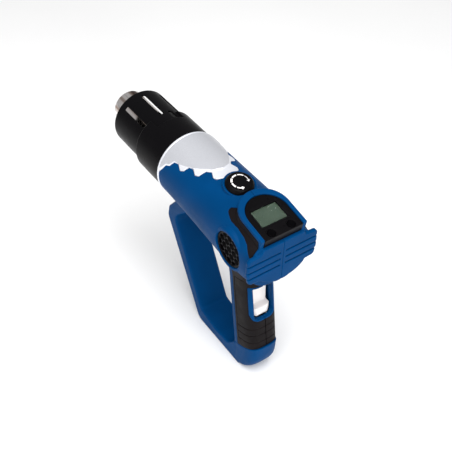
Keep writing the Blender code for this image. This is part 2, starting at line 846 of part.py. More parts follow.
def heat_shield():
    axis = at(0, 0, AXIS_Z) @ ALONG_X
    inner = SHIELD_FRONT_R - SHIELD_WALL
    profile = (
        (SHIELD_FRONT_R, SHIELD_FRONT_X),
        (SHIELD_FRONT_R, SHIELD_SIDE_STEP_X + 1.5),
        (SHIELD_REAR_R, SHIELD_SIDE_STEP_X - 1.5),
        (SHIELD_REAR_R, SHIELD_BACK_X),
        (SPIGOT_R + GAP, SHIELD_BACK_X),
        (SPIGOT_R + GAP, SHIELD_TOP_STEP_X - 5),
        (inner, SHIELD_TOP_STEP_X - 2),
        (inner, SHIELD_FRONT_X - 2.6),
        (inner - 2.0, SHIELD_FRONT_X - 2.6),
        (inner - 2.0, SHIELD_FRONT_X),
    )
    shield = turned("heat_shield", profile, black(), axis, 36, closed=True)
    notch_r = SHIELD_FRONT_R - 0.1
    notch = tube("shield_top_notch", 45, notch_r, SHIELD_TOP_STEP_X, 66, place=axis, steps=36)
    keep(notch, wedge("shield_notch_sector", 27.0))
    cut(shield, notch)
    for angle in SLOT_ANGLES:
        cut(shield, radial_box(f"shield_slot_{angle}", angle, SLOT_START_X, SLOT_END_X, SLOT_WIDTH))
    for angle in CATCH_ANGLES:
        cut(shield, radial_box(f"shield_catch_{angle}", angle, 54.0, 66.0, 5.0))


def wedge(name, half_angle):
    """A sector round the barrel's axis, centred on the top."""
    reach = 60.0
    spread = reach * math.tan(math.radians(half_angle))
    outline = [(0.0, 0.0), (spread, reach), (-spread, reach)]
    return plate(name, outline, 30, 90, place=at(0, 0, AXIS_Z) @ REAR)


def radial_box(name, angle, start_x, end_x, width):
    """A box that leaves the barrel's axis at angle from the top, positive towards the left."""
    place = at(0, 0, AXIS_Z) @ Matrix.Rotation(-math.radians(angle), 4, "X")
    return box(name, (start_x, -width / 2, 24), (end_x, width / 2, 45), place=place)


def hot_end():
    axis = at(0, 0, AXIS_Z) @ ALONG_X
    tube("nozzle_tube", TUBE_R, TUBE_R - TUBE_WALL, TUBE_BACK_X, MOUTH_X, steel(), axis, 40)
    tube("tube_flange", 22.7, TUBE_R + GAP, FLANGE_X - 1.0, FLANGE_X + 1.0, tin(), axis, 24)
    tube("mica_sleeve", 15.6, 14.8, 9.0, 116.0, mica(), axis, 28)
    core = rod("heater_core", 11.4, 12.0, 108.0, ceramic(), axis, 24)
    for i in range(6):
        turn = axis @ Matrix.Rotation(math.radians(60 * i + 30), 4, "Z")
        cut(core, box(f"core_flute_{i}", (6.0, -2.2, 0), (16, 2.2, 120), place=turn))
    heater_coil()
    plate_disc = rod("outlet_plate", 14.4, 109.0, 111.0, ceramic(), axis, 24)
    for i in range(6):
        turn = axis @ Matrix.Rotation(math.radians(60 * i), 4, "Z") @ at(8.6, 0, 0)
        cut(plate_disc, rod(f"outlet_hole_{i}", 3.0, 100, 120, place=turn, segments=8))
    cut(plate_disc, rod("outlet_hole_middle", 3.0, 100, 120, place=axis, segments=8))
    wire("temperature_probe", ((113, 0, AXIS_Z + 12.6), (126, 0, AXIS_Z + 12.6)), 0.9, steel(), 1)
    rod("thermal_cutout", 4.0, 0, 4.5, tin(), at(-4.0, 0, AXIS_Z + 10) @ ALONG_X, 14)


def heater_coil():
    """Resistance wire wound round the ceramic core."""
    turns, steps = 8, 10
    points = []
    for i in range(turns * steps + 1):
        angle = 2 * math.pi * i / steps
        x = 16.0 + 88.0 * i / (turns * steps)
        points.append((x, 13.1 * math.cos(angle), AXIS_Z + 13.1 * math.sin(angle)))
    wire("heater_coil", points, 0.8, tin())


# ---------------------------------------------------------------- blower


def blower():
    axis = at(0, 0, AXIS_Z) @ ALONG_X
    profile = (
        (18.8, 5.0),
        (18.8, 3.0),
        (28.0, -18.0),
        (28.0, -38.0),
        (26.6, -38.0),
        (26.6, -18.3),
        (17.5, 2.6),
        (17.5, 5.0),
    )
    turned("air_funnel", profile, black(), axis, 24, closed=True)
    hub = rod("fan_impeller", 7.0, FAN_X - 5, FAN_X + 5, black(), axis, 20)
    back = rod("fan_back_plate", FAN_R, FAN_X - 5, FAN_X - 3.6, place=axis, segments=28)
    join(hub, back)
    for i in range(9):
        turn = axis @ Matrix.Rotation(math.radians(40 * i), 4, "Z")
        blade = box(f"fan_blade_{i}", (5.0, -0.7, FAN_X - 4), (FAN_R - 0.6, 0.7, FAN_X + 5), place=turn)
        join(hub, blade)
    cut(hub, rod("fan_bore", SHAFT_R + GAP, -60, 10, place=axis, segments=12))
    rod("motor_shaft", SHAFT_R, MOTOR_BACK_X - 4, FAN_X + 7, steel(), axis, 12)
    profile = (
        (0, MOTOR_FRONT_X + 3),
        (4.5, MOTOR_FRONT_X + 3),
        (4.5, MOTOR_FRONT_X),
        (MOTOR_R - 1, MOTOR_FRONT_X),
        (MOTOR_R, MOTOR_FRONT_X - 1),
        (MOTOR_R, MOTOR_BACK_X + 1),
        (MOTOR_R - 1, MOTOR_BACK_X),
        (4.5, MOTOR_BACK_X),
        (4.5, MOTOR_BACK_X - 2),
        (0, MOTOR_BACK_X - 2),
    )
    can = turned("motor", profile, tin(), axis, 20)
    cut(can, rod("motor_bore", SHAFT_R + GAP, MOTOR_BACK_X - 9, 0, place=axis, segments=12))
    bracket = tube("motor_bracket", 17.4, MOTOR_R + GAP, BRACKET_X, BRACKET_X + 10, black(), axis, 20)
    rim = tube("bracket_rim", 30.4, 28.6, BRACKET_X, BRACKET_X + 4, place=axis, steps=24)
    join(bracket, rim)
    for i in range(3):
        turn = axis @ Matrix.Rotation(math.radians(120 * i), 4, "Z")
        spoke = (16.4, -2, BRACKET_X), (29.6, 2, BRACKET_X + 3)
        join(bracket, box(f"bracket_spoke_{i}", *spoke, place=turn))
    knob_room = (BRACKET_X - 6, -10, AXIS_Z + 19), (BRACKET_X + 14, 10, AXIS_Z + 40)
    cut(bracket, box("bracket_knob_room", *knob_room))
    for side in (1, -1):
        low, high = sorted((14.5 * side, 19.5 * side))
        notch = (BRACKET_X - 6, low, 140), (BRACKET_X + 14, high, AXIS_Z - 21.5)
        cut(bracket, box(f"bracket_lead_notch_{side}", *notch))


# ---------------------------------------------------------------- controls and electronics


def control_panel():
    place = panel_place()
    outer = panel_outline(BEZEL_HALF_WIDTH, BEZEL_ARC_U, BEZEL_END_U)
    inner = panel_outline(BEZEL_HALF_WIDTH - 2.0, BEZEL_ARC_U, BEZEL_END_U - 2.0)
    bezel = plate("panel_bezel", outer, -BEZEL_DEPTH, 0.0, black(), place, 0.6)
    window = ((0, -WINDOW_HALF_WIDTH, -9), (WINDOW_LENGTH, WINDOW_HALF_WIDTH, 9))
    skirt = (BEZEL_END_U - 1.6, -BEZEL_HALF_WIDTH, -SKIRT_DEPTH), (BEZEL_END_U, BEZEL_HALF_WIDTH, -1.0)
    cut(bezel, plate("bezel_hollow", inner, -12, -2.0, place=place))
    join(bezel, box("bezel_skirt", *skirt, place=place))
    cut(bezel, box("bezel_window", *window, place=place))
    spots = (("left", -BUTTON_Y), ("right", BUTTON_Y))
    for name, y in spots:
        spot = place @ at(BUTTON_U, y, 0)
        cut(bezel, rod(f"button_hole_{name}", BUTTON_R + GAP, -9, 9, place=spot, segments=20))
        profile = ((0, 0.6), (BUTTON_R - 1.0, 0.6), (BUTTON_R, 0.2), (BUTTON_R, -2.4), (0, -2.4))
        turned("button_" + name, profile, black(), spot, 20)
        box("key_switch_" + name, (-2.4, -2.4, -7.0), (2.4, 2.4, -3.6), tin(), spot)
    inset = GAP
    lens = (inset, inset - WINDOW_HALF_WIDTH, -2.0), (WINDOW_LENGTH - inset, WINDOW_HALF_WIDTH - inset, -1.1)
    box("display_window", *lens, glass(), place)
    box("lcd_module", (-0.6, -14.6, -5.4), (19.6, 14.6, -2.4), lcd(), place)
    box("display_board", (1.0, -15.6, -9.0), (29.4, 15.6, -7.4), board(), place)


def temperature_knob():
    place = panel_place(KNOB_CENTRE)
    top = KNOB_HEIGHT - KNOB_SINK
    profile = (
        (0, top),
        (KNOB_R - 1.6, top),
        (KNOB_R - 0.5, top - 0.5),
        (KNOB_R, top - 1.4),
        (KNOB_R, -KNOB_SINK),
        (0, -KNOB_SINK),
    )
    turned("temperature_knob", profile, black(), place, 36)
    rod("knob_shaft", 3.0, -9.5, -KNOB_SINK - GAP, brass(), place, 12)
    body = rod("potentiometer", 7.5, -14.0, -7.0, tin(), place, 20)
    cut(body, rod("potentiometer_bore", 3.0 + GAP, -10.2, 0, place=place, segments=12))


def rocker_switch():
    """Rocker pressed at its top: the lower end stands out of the handle as a round bump."""
    px, pz = ROCKER_PIVOT
    outline = rounded(
        [
            (-1.5, 17.0, 0.8),
            (-2.8, -5.5, 1.0),
            (-10.6, -5.2, 2.5),
            (-11.8, -9.5, 3.0),
            (-10.5, -16.6, 4.5),
            (-4.0, -17.2, 1.5),
            (1.0, -12.0, 2.0),
            (1.0, 12.0, 2.0),
        ],
        3,
    )
    place = at(px, 0, pz) @ SIDE
    rocker = plate("power_rocker", outline, -ROCKER_HALF_WIDTH, ROCKER_HALF_WIDTH, white(), place, 0.7)
    half = ROCKER_HALF_WIDTH + 1
    low, high = pz - 17.2, pz + 20
    from_behind = rounded([(-half, high, 0), (-half, low, 9.5), (half, low, 9.5), (half, high, 0)])
    keep(rocker, plate("rocker_corners", from_behind, -130, -90, place=REAR))
    case = ((2.0, -12.0), (12.4, -12.0), (15.0, -9.8), (15.0, 9.8), (12.4, 12.0), (2.0, 12.0))
    body = plate("switch_body", case, -11.0, 11.0, black(), at(px, 0, pz))
    cut(body, cross_rod("switch_body_hollow", 12.7, px, pz, -10.7, 10.7, segments=24))


def electronics():
    box("control_board", (-117.0, -17.0, 156.0), (-78.0, 17.0, 157.6), board())
    sink = box("triac_heatsink", (-116.0, -16.0, 158.0), (-98.0, -4.0, 172.0), aluminium())
    for i in range(3):
        y = -13.5 + 3.5 * i
        cut(sink, box(f"heatsink_gap_{i}", (-120, y - 1.1, 161.0), (-90, y + 1.1, 180)))
    rod("capacitor", 5.0, 0, 16.0, material("capacitor_sleeve", (0.02, 0.02, 0.05), 0.4), at(-88, -8, 158), 14)
    iron = box("transformer", (-116.0, -1.5, 158.0), (-94.0, 15.5, 176.0), tin())
    cut(iron, box("transformer_window_low", (-120, -5.0, 160.6), (-90, 1.8, 173.4)))
    cut(iron, box("transformer_window_high", (-120, 12.2, 160.6), (-90, 20.0, 173.4)))


def leads():
    live = material("brown_lead", (0.16, 0.06, 0.02), 0.5)
    neutral = material("blue_lead", (0.02, 0.12, 0.5), 0.5)
    red = material("red_lead", (0.5, 0.02, 0.01), 0.5)
    grey = material("grey_lead", (0.2, 0.2, 0.2), 0.5)
    wire("live_lead", ((-94, 5, 76.5), (-93, 4.5, 80), (-86, 3, 83.0)), 0.8, live)
    route = ((-94, -6, 76), (-84.5, -5, 81.5), (-81.8, -5, 86), (-81.2, -5, 104), (-83, -6, 125), (-86, -6, 155.4))
    wire("neutral_lead", route, 0.8, neutral)
    wire("switched_lead", ((-86, 3, 107.2), (-86, 4, 116), (-86, 6, 132), (-86, 6, 155.4)), 0.8, live)
    for name, side, finish in (("heater_lead_left", 1, red), ("heater_lead_right", -1, grey)):
        route = (
            (-82.0, 12.0 * side, 158.9),
            (-75.5, 13.5 * side, 158.9),
            (-73.0, 17.0 * side, 154.4),
            (-14.0, 17.0 * side, 154.1),
            (1.0, 16.8 * side, 162.0),
            (4.6, 15.0 * side, 164.0),
        )
        wire(name, route, 0.8, finish)


def main():
    clear_scene()
    housing()
    housing_screws()
    vent_grilles()
    soft_parts()
    silver_cap()
    guard_loop()
    cord_inlet()
    heat_shield()
    hot_end()
    blower()
    control_panel()
    temperature_knob()
    rocker_switch()
    electronics()
    leads()


main()
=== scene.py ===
"""Looks of the hot-air gun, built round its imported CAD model.

The frame is the CAD's own: metres, +X along the barrel towards the nozzle, +Y to the gun's left, +Z up. Sizes
below are in millimetres and are turned into metres where meshes are made.
"""

import math

import bmesh
import bpy
import numpy as np
from mathutils import Matrix, Vector


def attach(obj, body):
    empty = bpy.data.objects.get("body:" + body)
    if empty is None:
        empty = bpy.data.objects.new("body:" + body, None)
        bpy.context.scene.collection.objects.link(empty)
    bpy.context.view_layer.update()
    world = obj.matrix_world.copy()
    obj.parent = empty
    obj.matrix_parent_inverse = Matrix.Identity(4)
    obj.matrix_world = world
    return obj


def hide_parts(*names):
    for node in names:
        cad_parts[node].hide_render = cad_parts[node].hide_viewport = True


# Metres in a millimetre, half the gap in the middle plane, and half the gap between other fixed pieces
MM = 0.001
SEAM = 0.02
HALF_GAP = 0.15

# Points round a section of the barrel or the grip, and steps between two of its stations
SECTION_POINTS = 96
SECTION_STEPS = 5

# Barrel
AXIS_Z = 178.0
REAR_X = -133.5
MOUTH_X = 133.5
HEAD_R = 34.0
HEAD_FRONT_X = 16.5
HEAD_REAR_X = -131.0
WALL = 3.0
SPIGOT_R = 31.0
SPIGOT_END_X = 26.0
INLAY_DEPTH = 1.6

# Housing screws, as (x, z, reach to the right of their seat)
SCREW_SEAT = 4.5
SCREWS = (
    (12.0, AXIS_Z - 27.0, 15.0),
    (-52.0, AXIS_Z - 28.0, 15.0),
    (-122.0, AXIS_Z - 20.0, 20.0),
    (-92.0, 125.0, 13.6),
    (-101.0, 66.0, 13.6),
)

# Silver cap; its crease is the edge of the raised crown, as (x, angle from the top) down its left side
CAP_DEPTH = 2.3
CAP_CREASE = (
    (18.5, 90.0),
    (1.0, 60.0),
    (-3.5, 46.0),
    (-9.0, 42.4),
    (-18.6, 36.6),
    (-28.0, 27.0),
    (-38.5, 14.0),
    (-41.8, 0.0),
)

# Heat shield and hot-air tube
SHIELD_BACK_X = 19.4
SHIELD_FRONT_X = 109.0
SHIELD_REAR_R = 33.6
SHIELD_FRONT_R = 30.7
SHIELD_WALL = 2.0
SHIELD_TOP_STEP_X = 48.5
SHIELD_SIDE_STEP_X = 62.0
SLOT_ANGLES = (0, 41, -41, 139, -139, 180)
TUBE_R = 17.0
TUBE_BACK_X = 6.0

# Grip
GRIP_DEPTH = 20.0
GRIP_HALF_WIDTH = 17.2
GRIP_POWER = 3.2
GRIP_MIDDLE_X = -90.5
GRIP_MIDDLE_Z = 118.0
GRIP_LEAN = 0.1402
RUBBER = 2.0
FOOT_FRONT = (-87.0, 27.0)
FOOT_REAR = (-122.0, 43.0)

# Control panel
PANEL_TILT = math.radians(10.5)
PANEL_ORIGIN = Vector((-101.2, 0.0, AXIS_Z + 33.5))
BEZEL_HALF_WIDTH = 20.0
BEZEL_ARC_U = 8.0
BEZEL_END_U = 31.9
BEZEL_DEPTH = 5.8
SKIRT_DEPTH = 9.4
RIM_HALF_WIDTH = 24.3
RIM_ARC_U = 5.0
RIM_RISE = 0.9
RIM_LINE = -2.6
PAD_CORE = 22.5
WINDOW_HALF_WIDTH = 13.3
WINDOW_LENGTH = 18.7
BUTTON_U = 27.1
BUTTON_Y = 10.4
BUTTON_R = 3.9

# Temperature knob
KNOB_CENTRE = Vector((-67.1, 0.0, AXIS_Z + 34.6))
KNOB_R = 13.5
KNOB_TOP = 2.8
KNOB_SINK = 1.2

# Power rocker
ROCKER_PIVOT = (-100.0, AXIS_Z - 83.0)
ROCKER_HALF_WIDTH = 9.7
WINDOW_TOP_Z = 118.5
WINDOW_BOTTOM_Z = 79.2
SWITCH_HALF_WIDTH = 11.1

# Intake grilles
VENT_CENTRE = (-98.6, AXIS_Z - 3.2)
VENT_R = 17.6
VENT_BOSS_R = 21.0
VENT_BOSS_Y = 33.6
VENT_FACE_Y = 32.4
VENT_LEDGE_Y = 27.4

# Rear bumper
BUMPER_FRONT_X = -129.3
GROOVES_Z = (AXIS_Z + 5.4, AXIS_Z - 2.2, AXIS_Z - 9.6)

# Guard loop
GUARD_HALF_WIDTH = 16.8
CORD_X = -91.0
RIBS_Z = (62.4, 53.8, 44.5)
PANEL_LINE_LEAN = 123.0

SIDE = Matrix.Rotation(math.pi / 2, 4, "X")
REAR = Matrix(((0, 0, 1, 0), (1, 0, 0, 0), (0, 1, 0, 0), (0, 0, 0, 1)))
PLAN = Matrix.Identity(4)
ALONG_X = Matrix.Rotation(math.pi / 2, 4, "Y")


# ---------------------------------------------------------------- placing and mesh work


def at(x, y, z):
    return Matrix.Translation(Vector((x, y, z)) * MM)


def barrel_axis():
    return at(0, 0, AXIS_Z) @ ALONG_X


def facing_left(x, z):
    """Local z runs to the gun's left, out of the point (x, z) of the middle plane."""
    return at(x, 0, z) @ Matrix.Rotation(-math.pi / 2, 4, "X")


def panel_place(origin=PANEL_ORIGIN):
    """Local x runs rearwards down the panel's slope, y towards the right and z out of the panel."""
    c, s = math.cos(PANEL_TILT), math.sin(PANEL_TILT)
    turn = Matrix(((-c, 0, -s, 0), (0, -1, 0, 0), (-s, 0, c, 0), (0, 0, 0, 1)))
    return Matrix.Translation(origin * MM) @ turn


def put(name, bm, place=PLAN):
    """An object from a bmesh, in the scene, with the place written into its mesh."""
    bm.transform(place)
    bmesh.ops.recalc_face_normals(bm, faces=bm.faces)
    if bm.calc_volume(signed=True) < 0:
        bmesh.ops.reverse_faces(bm, faces=bm.faces)
    mesh = bpy.data.meshes.new(name)
    bm.to_mesh(mesh)
    bm.free()
    obj = bpy.data.objects.new(name, mesh)
    bpy.context.scene.collection.objects.link(obj)
    return obj


def settle(obj):
    """Turns the object's modifiers into mesh."""
    graph = bpy.context.evaluated_depsgraph_get()
    mesh = bpy.data.meshes.new_from_object(obj.evaluated_get(graph))
    obj.modifiers.clear()
    obj.data = mesh
    return obj


def carve(obj, operation, tools):
    """Works the tools into the object one after the other, and removes them."""
    for tool in tools:
        change = obj.modifiers.new("carve", "BOOLEAN")
        change.operation = operation
        change.object = tool
        change.solver = "MANIFOLD"
        settle(obj)
    for tool in tools:
        bpy.data.objects.remove(tool, do_unlink=True)
    return obj


def cut(obj, *tools):
    return carve(obj, "DIFFERENCE", tools)


def join(obj, *tools):
    return carve(obj, "UNION", tools)


def keep(obj, *tools):
    return carve(obj, "INTERSECT", tools)


def copy_of(obj, name):
    twin = obj.copy()
    twin.data = obj.data.copy()
    twin.name = name
    bpy.context.scene.collection.objects.link(twin)
    return twin


def soften(obj, voxel, rounds=4, most=180000):
    """Rounds every edge a little, as moulding does: an even remesh, smoothing, then fewer triangles."""
    remesh = obj.modifiers.new("even", "REMESH")
    remesh.mode = "VOXEL"
    remesh.voxel_size = voxel * MM
    ease = obj.modifiers.new("ease", "SMOOTH")
    ease.factor = 0.5
    ease.iterations = rounds
    settle(obj)
    count = 2 * len(obj.data.polygons)
    if count > most:
        fewer = obj.modifiers.new("fewer", "DECIMATE")
        fewer.ratio = most / count
        settle(obj)
    obj.data.shade_smooth()
    return obj


def bevelled(obj, width, segments=3, angle=35):
    bevel = obj.modifiers.new("bevel", "BEVEL")
    bevel.width = width * MM
    bevel.segments = segments
    bevel.limit_method = "ANGLE"
    bevel.angle_limit = math.radians(angle)
    settle(obj)
    obj.data.shade_smooth()
    obj.data.set_sharp_from_angle(angle=math.radians(50))
    return obj


# ---------------------------------------------------------------- shapes


def box(name, low, high, place=PLAN):
    bm = bmesh.new()
    bmesh.ops.create_cube(bm, size=1.0)
    for vertex in bm.verts:
        for i in range(3):
            vertex.co[i] = MM * (low[i] if vertex.co[i] < 0 else high[i])
    return put(name, bm, place)


def rod(name, radius, start, end, place=PLAN, segments=96):
    """A cylinder along local Z."""
    bm = bmesh.new()
    size = radius * MM
    bmesh.ops.create_cone(
        bm, cap_ends=True, segments=segments, radius1=size, radius2=size, depth=(end - start) * MM
    )
    bmesh.ops.translate(bm, verts=bm.verts, vec=(0, 0, (start + end) / 2 * MM))
    return put(name, bm, place)


def cross_rod(name, radius, x, z, low_y, high_y):
    """A cylinder along Y."""
    return rod(name, radius, low_y, high_y, facing_left(x, z), 64)


def turned(name, profile, place=PLAN, steps=96):
    """A profile of (radius, height) points swept round local Z.

    It closes on the axis when both its ends lie there, and on itself otherwise.
    """
    bm = bmesh.new()
    solid = abs(profile[0][0]) < 1e-6 and abs(profile[-1][0]) < 1e-6
    rings = []
    for r, h in profile:
        if r < 1e-6:
            rings.append([bm.verts.new((0, 0, h * MM))] * steps)
            continue
        turn = [2 * math.pi * i / steps for i in range(steps)]
        rings.append([bm.verts.new((r * MM * math.cos(a), r * MM * math.sin(a), h * MM)) for a in turn])
    pairs = list(zip(rings, rings[1:]))
    if not solid:
        pairs.append((rings[-1], rings[0]))
    for a, b in pairs:
        for i in range(steps):
            j = (i + 1) % steps
            corners = [a[i], a[j], b[j], b[i]]
            bm.faces.new(list(dict.fromkeys(corners)))
    return put(name, bm, place)


def tube(name, outer, inner, start, end, place=PLAN, steps=96):
    return turned(name, [(outer, end), (outer, start), (inner, start), (inner, end)], place, steps)


def loft(name, rings):
    """A closed solid through rings of as many points each."""
    bm = bmesh.new()
    loops = [[bm.verts.new(Vector(p) * MM) for p in ring] for ring in rings]
    count = len(loops[0])
    for a, b in zip(loops, loops[1:]):
        for i in range(count):
            j = (i + 1) % count
            bm.faces.new((a[i], a[j], b[j], b[i]))
    bm.faces.new(loops[0])
    bm.faces.new(loops[-1])
    return put(name, bm)


def rounded(corners, arc_steps=8):
    """An outline whose corners (x, y, radius) are rounded by arcs."""
    points = []
    count = len(corners)
    for i, (x, y, radius) in enumerate(corners):
        corner = Vector((x, y))
        if radius <= 0:
            points.append((x, y))
            continue
        before = (Vector(corners[i - 1][:2]) - corner).normalized()
        after = (Vector(corners[(i + 1) % count][:2]) - corner).normalized()
        half = before.angle(after) / 2
        run = radius / math.tan(half)
        centre = corner + (before + after).normalized() * radius / math.sin(half)
        start = corner + before * run - centre
        sweep = start.angle_signed(corner + after * run - centre)
        for step in range(arc_steps + 1):
            turn = Matrix.Rotation(-sweep * step / arc_steps, 2)
            points.append(tuple(centre + turn @ start))
    return points


def rounded_box(start, end, half, radius):
    """A rectangle from start to end, half as wide as given on each side, with rounded corners."""
    corners = ((start, -half), (end, -half), (end, half), (start, half))
    return rounded([(x, y, radius) for x, y in corners], 5)


def shrunk(points, distance):
    """An outline moved inwards by distance all round, or outwards when distance is negative."""
    count = len(points)
    area = sum(points[i - 1][0] * points[i][1] - points[i][0] * points[i - 1][1] for i in range(count))
    moved = []
    for i, point in enumerate(points):
        before = (Vector(point) - Vector(points[i - 1])).normalized()
        after = (Vector(points[(i + 1) % count]) - Vector(point)).normalized()
        inward = Vector((-before.y - after.y, before.x + after.x)) * math.copysign(1, area)
        moved.append(tuple(Vector(point) + inward * distance / (1 + before.dot(after))))
    return moved


def plate(name, outline, low, high, place=PLAN, edge=0.0, segments=4):
    """A flat outline extruded along local Z from low to high, with its rims rounded by edge."""
    bm = bmesh.new()
    bottom = bm.faces.new([bm.verts.new((x * MM, y * MM, low * MM)) for x, y in outline])
    made = bmesh.ops.extrude_face_region(bm, geom=[bottom])
    lifted = [v for v in made["geom"] if isinstance(v, bmesh.types.BMVert)]
    bmesh.ops.translate(bm, verts=lifted, vec=(0, 0, (high - low) * MM))
    if edge:
        flat = [e for e in bm.edges if abs(e.verts[0].co.z - e.verts[1].co.z) < 1e-7]
        bmesh.ops.bevel(bm, geom=flat, offset=edge * MM, segments=segments, profile=0.5, affect="EDGES")
    return put(name, bm, place)


def power_point(angle, half_x, half_y, power):
    """A point of a superellipse, which is squarer the higher its power."""
    c, s = math.cos(angle), math.sin(angle)
    return (
        math.copysign(half_x * abs(c) ** (2 / power), c),
        math.copysign(half_y * abs(s) ** (2 / power), s),
    )


def between(rows, steps):
    """Rows of numbers with smooth steps between them, as a spline through their values."""
    smooth = []
    for i in range(len(rows) - 1):
        p0, p1, p2, p3 = rows[max(i - 1, 0)], rows[i], rows[i + 1], rows[min(i + 2, len(rows) - 1)]
        for k in range(steps):
            t = k / steps
            row = []
            for a, b, c, d in zip(p0, p1, p2, p3):
                slope_b, slope_c = (c - a) / 2, (d - b) / 2
                h = (2 * t**3 - 3 * t**2 + 1, t**3 - 2 * t**2 + t, -2 * t**3 + 3 * t**2, t**3 - t**2)
                row.append(h[0] * b + h[1] * slope_b + h[2] * c + h[3] * slope_c)
            smooth.append(row)
    smooth.append(list(rows[-1]))
    return smooth


# ---------------------------------------------------------------- forms shared by several pieces


def head(name, grow=0.0, front=HEAD_FRONT_X, rear=HEAD_REAR_X):
    """The barrel: round above its axis and squarer below it, where the grip takes over."""
    stations = (
        (front, HEAD_R, HEAD_R, 34.0, 2.0),
        (-12.0, HEAD_R, HEAD_R, 34.6, 2.1),
        (-42.0, HEAD_R, HEAD_R, 35.6, 2.3),
        (-70.0, 34.2, HEAD_R, 36.2, 2.6),
        (-90.0, 34.6, 33.6, 36.6, 2.8),
        (-108.0, 34.6, 32.6, 36.0, 2.8),
        (-121.0, 34.0, 30.0, 34.5, 2.7),
        (rear, 32.5, 26.0, 31.5, 2.6),
    )
    rings = []
    for x, half_width, up, down, power in between(stations, SECTION_STEPS):
        ring = []
        for i in range(SECTION_POINTS):
            angle = 2 * math.pi * i / SECTION_POINTS
            above = math.sin(angle) >= 0
            height = (up if above else down) + grow
            y, z = power_point(angle, half_width + grow, height, 2.0 if above else power)
            ring.append((x, y, AXIS_Z + z))
        rings.append(ring)
    return loft(name, rings)


def grip_x(z):
    """Middle of the leaning handle at a height."""
    return GRIP_MIDDLE_X + GRIP_LEAN * (z - GRIP_MIDDLE_Z)


def grip(name, grow=0.0, bottom=20.0, top=156.0):
    """The handle, which flares where it meets the head."""
    stations = (
        (bottom, 0.0, 0.0),
        (100.0, 0.0, 0.0),
        (118.0, 0.0, 0.0),
        (130.0, 0.8, 0.0),
        (138.0, 2.6, -0.5),
        (145.0, 6.0, -1.5),
        (150.0, 9.5, -3.0),
        (top, 13.0, -4.0),
    )
    rings = []
    for z, flare, shift in between(stations, SECTION_STEPS):
        ring = []
        for i in range(SECTION_POINTS):
            angle = 2 * math.pi * i / SECTION_POINTS
            depth = GRIP_DEPTH + flare + grow
            width = GRIP_HALF_WIDTH + 1.1 * flare + grow
            x, y = power_point(angle, depth, width, GRIP_POWER - 0.08 * flare)
            ring.append((grip_x(z) + shift + x, y, z))
        rings.append(ring)
    return loft(name, rings)


def panel_outline(half_width, arc_u, end_u):
    """A D lying on the panel: round in front and square at the rear."""
    steps = 48
    points = [(end_u, -half_width), (end_u, half_width)]
    for i in range(steps + 1):
        angle = math.pi / 2 + math.pi * i / steps
        points.append((arc_u + half_width * math.cos(angle), half_width * math.sin(angle)))
    return points


def bumper_outline():
    """The bumper seen from behind: wide and ribbed, with a round skirt under the middle."""
    half = [
        (21.5, 18.5, 0),
        (24.5, 13.6, 1.0),
        (35.0, 12.8, 1.5),
        (37.2, 10.0, 1.0),
        (37.5, -6.0, 4.0),
        (36.0, -15.0, 2.0),
        (33.5, -17.0, 1.0),
        (24.0, -17.6, 4.0),
        (18.5, -22.6, 5.0),
        (12.0, -26.6, 8.0),
        (5.5, -29.2, 8.0),
    ]
    left = [(y, AXIS_Z + z, r) for y, z, r in half]
    right = [(-y, z, r) for y, z, r in reversed(left)]
    return rounded(left + right, 4)


def foot_plane_tool(name, side):
    """A block whose face is the slanting joint between the handle and its foot; side +1 lies above it."""
    front, rear = Vector(FOOT_FRONT), Vector(FOOT_REAR)
    angle = math.atan2(rear.y - front.y, front.x - rear.x)
    middle = (front + rear) / 2
    place = at(middle.x, 0, middle.y) @ Matrix.Rotation(angle, 4, "Y")
    low = (-250, -60, 0) if side > 0 else (-250, -60, -90)
    high = (250, 60, 260) if side > 0 else (250, 60, 0)
    return box(name, low, high, place @ at(0, 0, HALF_GAP * side))


def rubber_outline():
    """Side view of the soft grip: below the grille, behind the blue front edge and round the switch."""

    def along(z, offset, radius):
        return (grip_x(z) + offset, z, radius)

    return rounded(
        [
            along(10.0, 6.5, 0),
            along(146.5, 6.5, 3.0),
            along(147.0, -50.0, 0),
            along(120.5, -50.0, 0),
            along(120.5, -14.1, 2.0),
            along(86.0, -14.1, 9.0),
            along(79.6, -17.2, 4.0),
            along(76.2, -21.0, 3.0),
            along(76.0, -50.0, 0),
            along(10.0, -50.0, 0),
        ],
        6,
    )


def inlay_outline():
    """Side view of the curved strip between the grille and the control panel."""
    upper = [(-79.5, 26.5), (-87.0, 29.0), (-94.5, 31.8), (-128.6, 25.5)]
    lower = [
        (-128.6, 7.2),
        (-124.3, 10.8),
        (-118.8, 16.6),
        (-112.3, 19.5),
        (-102.2, 21.4),
        (-91.5, 21.8),
        (-85.0, 24.0),
    ]
    return rounded([(x, AXIS_Z + z, 1.5) for x, z in upper + lower], 4)


def cap_outline(inset):
    """Plan view of the silver cap, whose side edges are cut like torn teeth."""
    half = [
        (HEAD_FRONT_X + 1.0, 33.4, 0),
        (12.1, 31.4, 2.0),
        (9.6, 29.3, 1.2),
        (4.8, 28.2, 1.2),
        (1.5, 24.6, 1.2),
        (-3.5, 23.8, 1.2),
        (-9.5, 26.2, 1.2),
        (-14.0, 24.8, 1.2),
        (-16.6, 20.2, 1.2),
        (-21.2, 19.0, 1.2),
        (-27.3, 21.4, 1.2),
        (-31.8, 20.2, 1.2),
        (-34.0, 13.4, 1.2),
        (-38.6, 10.4, 1.2),
        (-45.0, 13.2, 1.2),
        (-48.6, 12.0, 1.2),
        (-51.8, 7.5, 1.2),
    ]
    right = [(x, -y, r) for x, y, r in reversed(half)]
    return shrunk(rounded(half + right, 3), inset)


def left_side(name, gap=SEAM):
    """Everything to the left of the middle plane, less a gap at the seam."""
    return box(name, (-200, gap, -50), (200, 60, 300))


# ---------------------------------------------------------------- materials


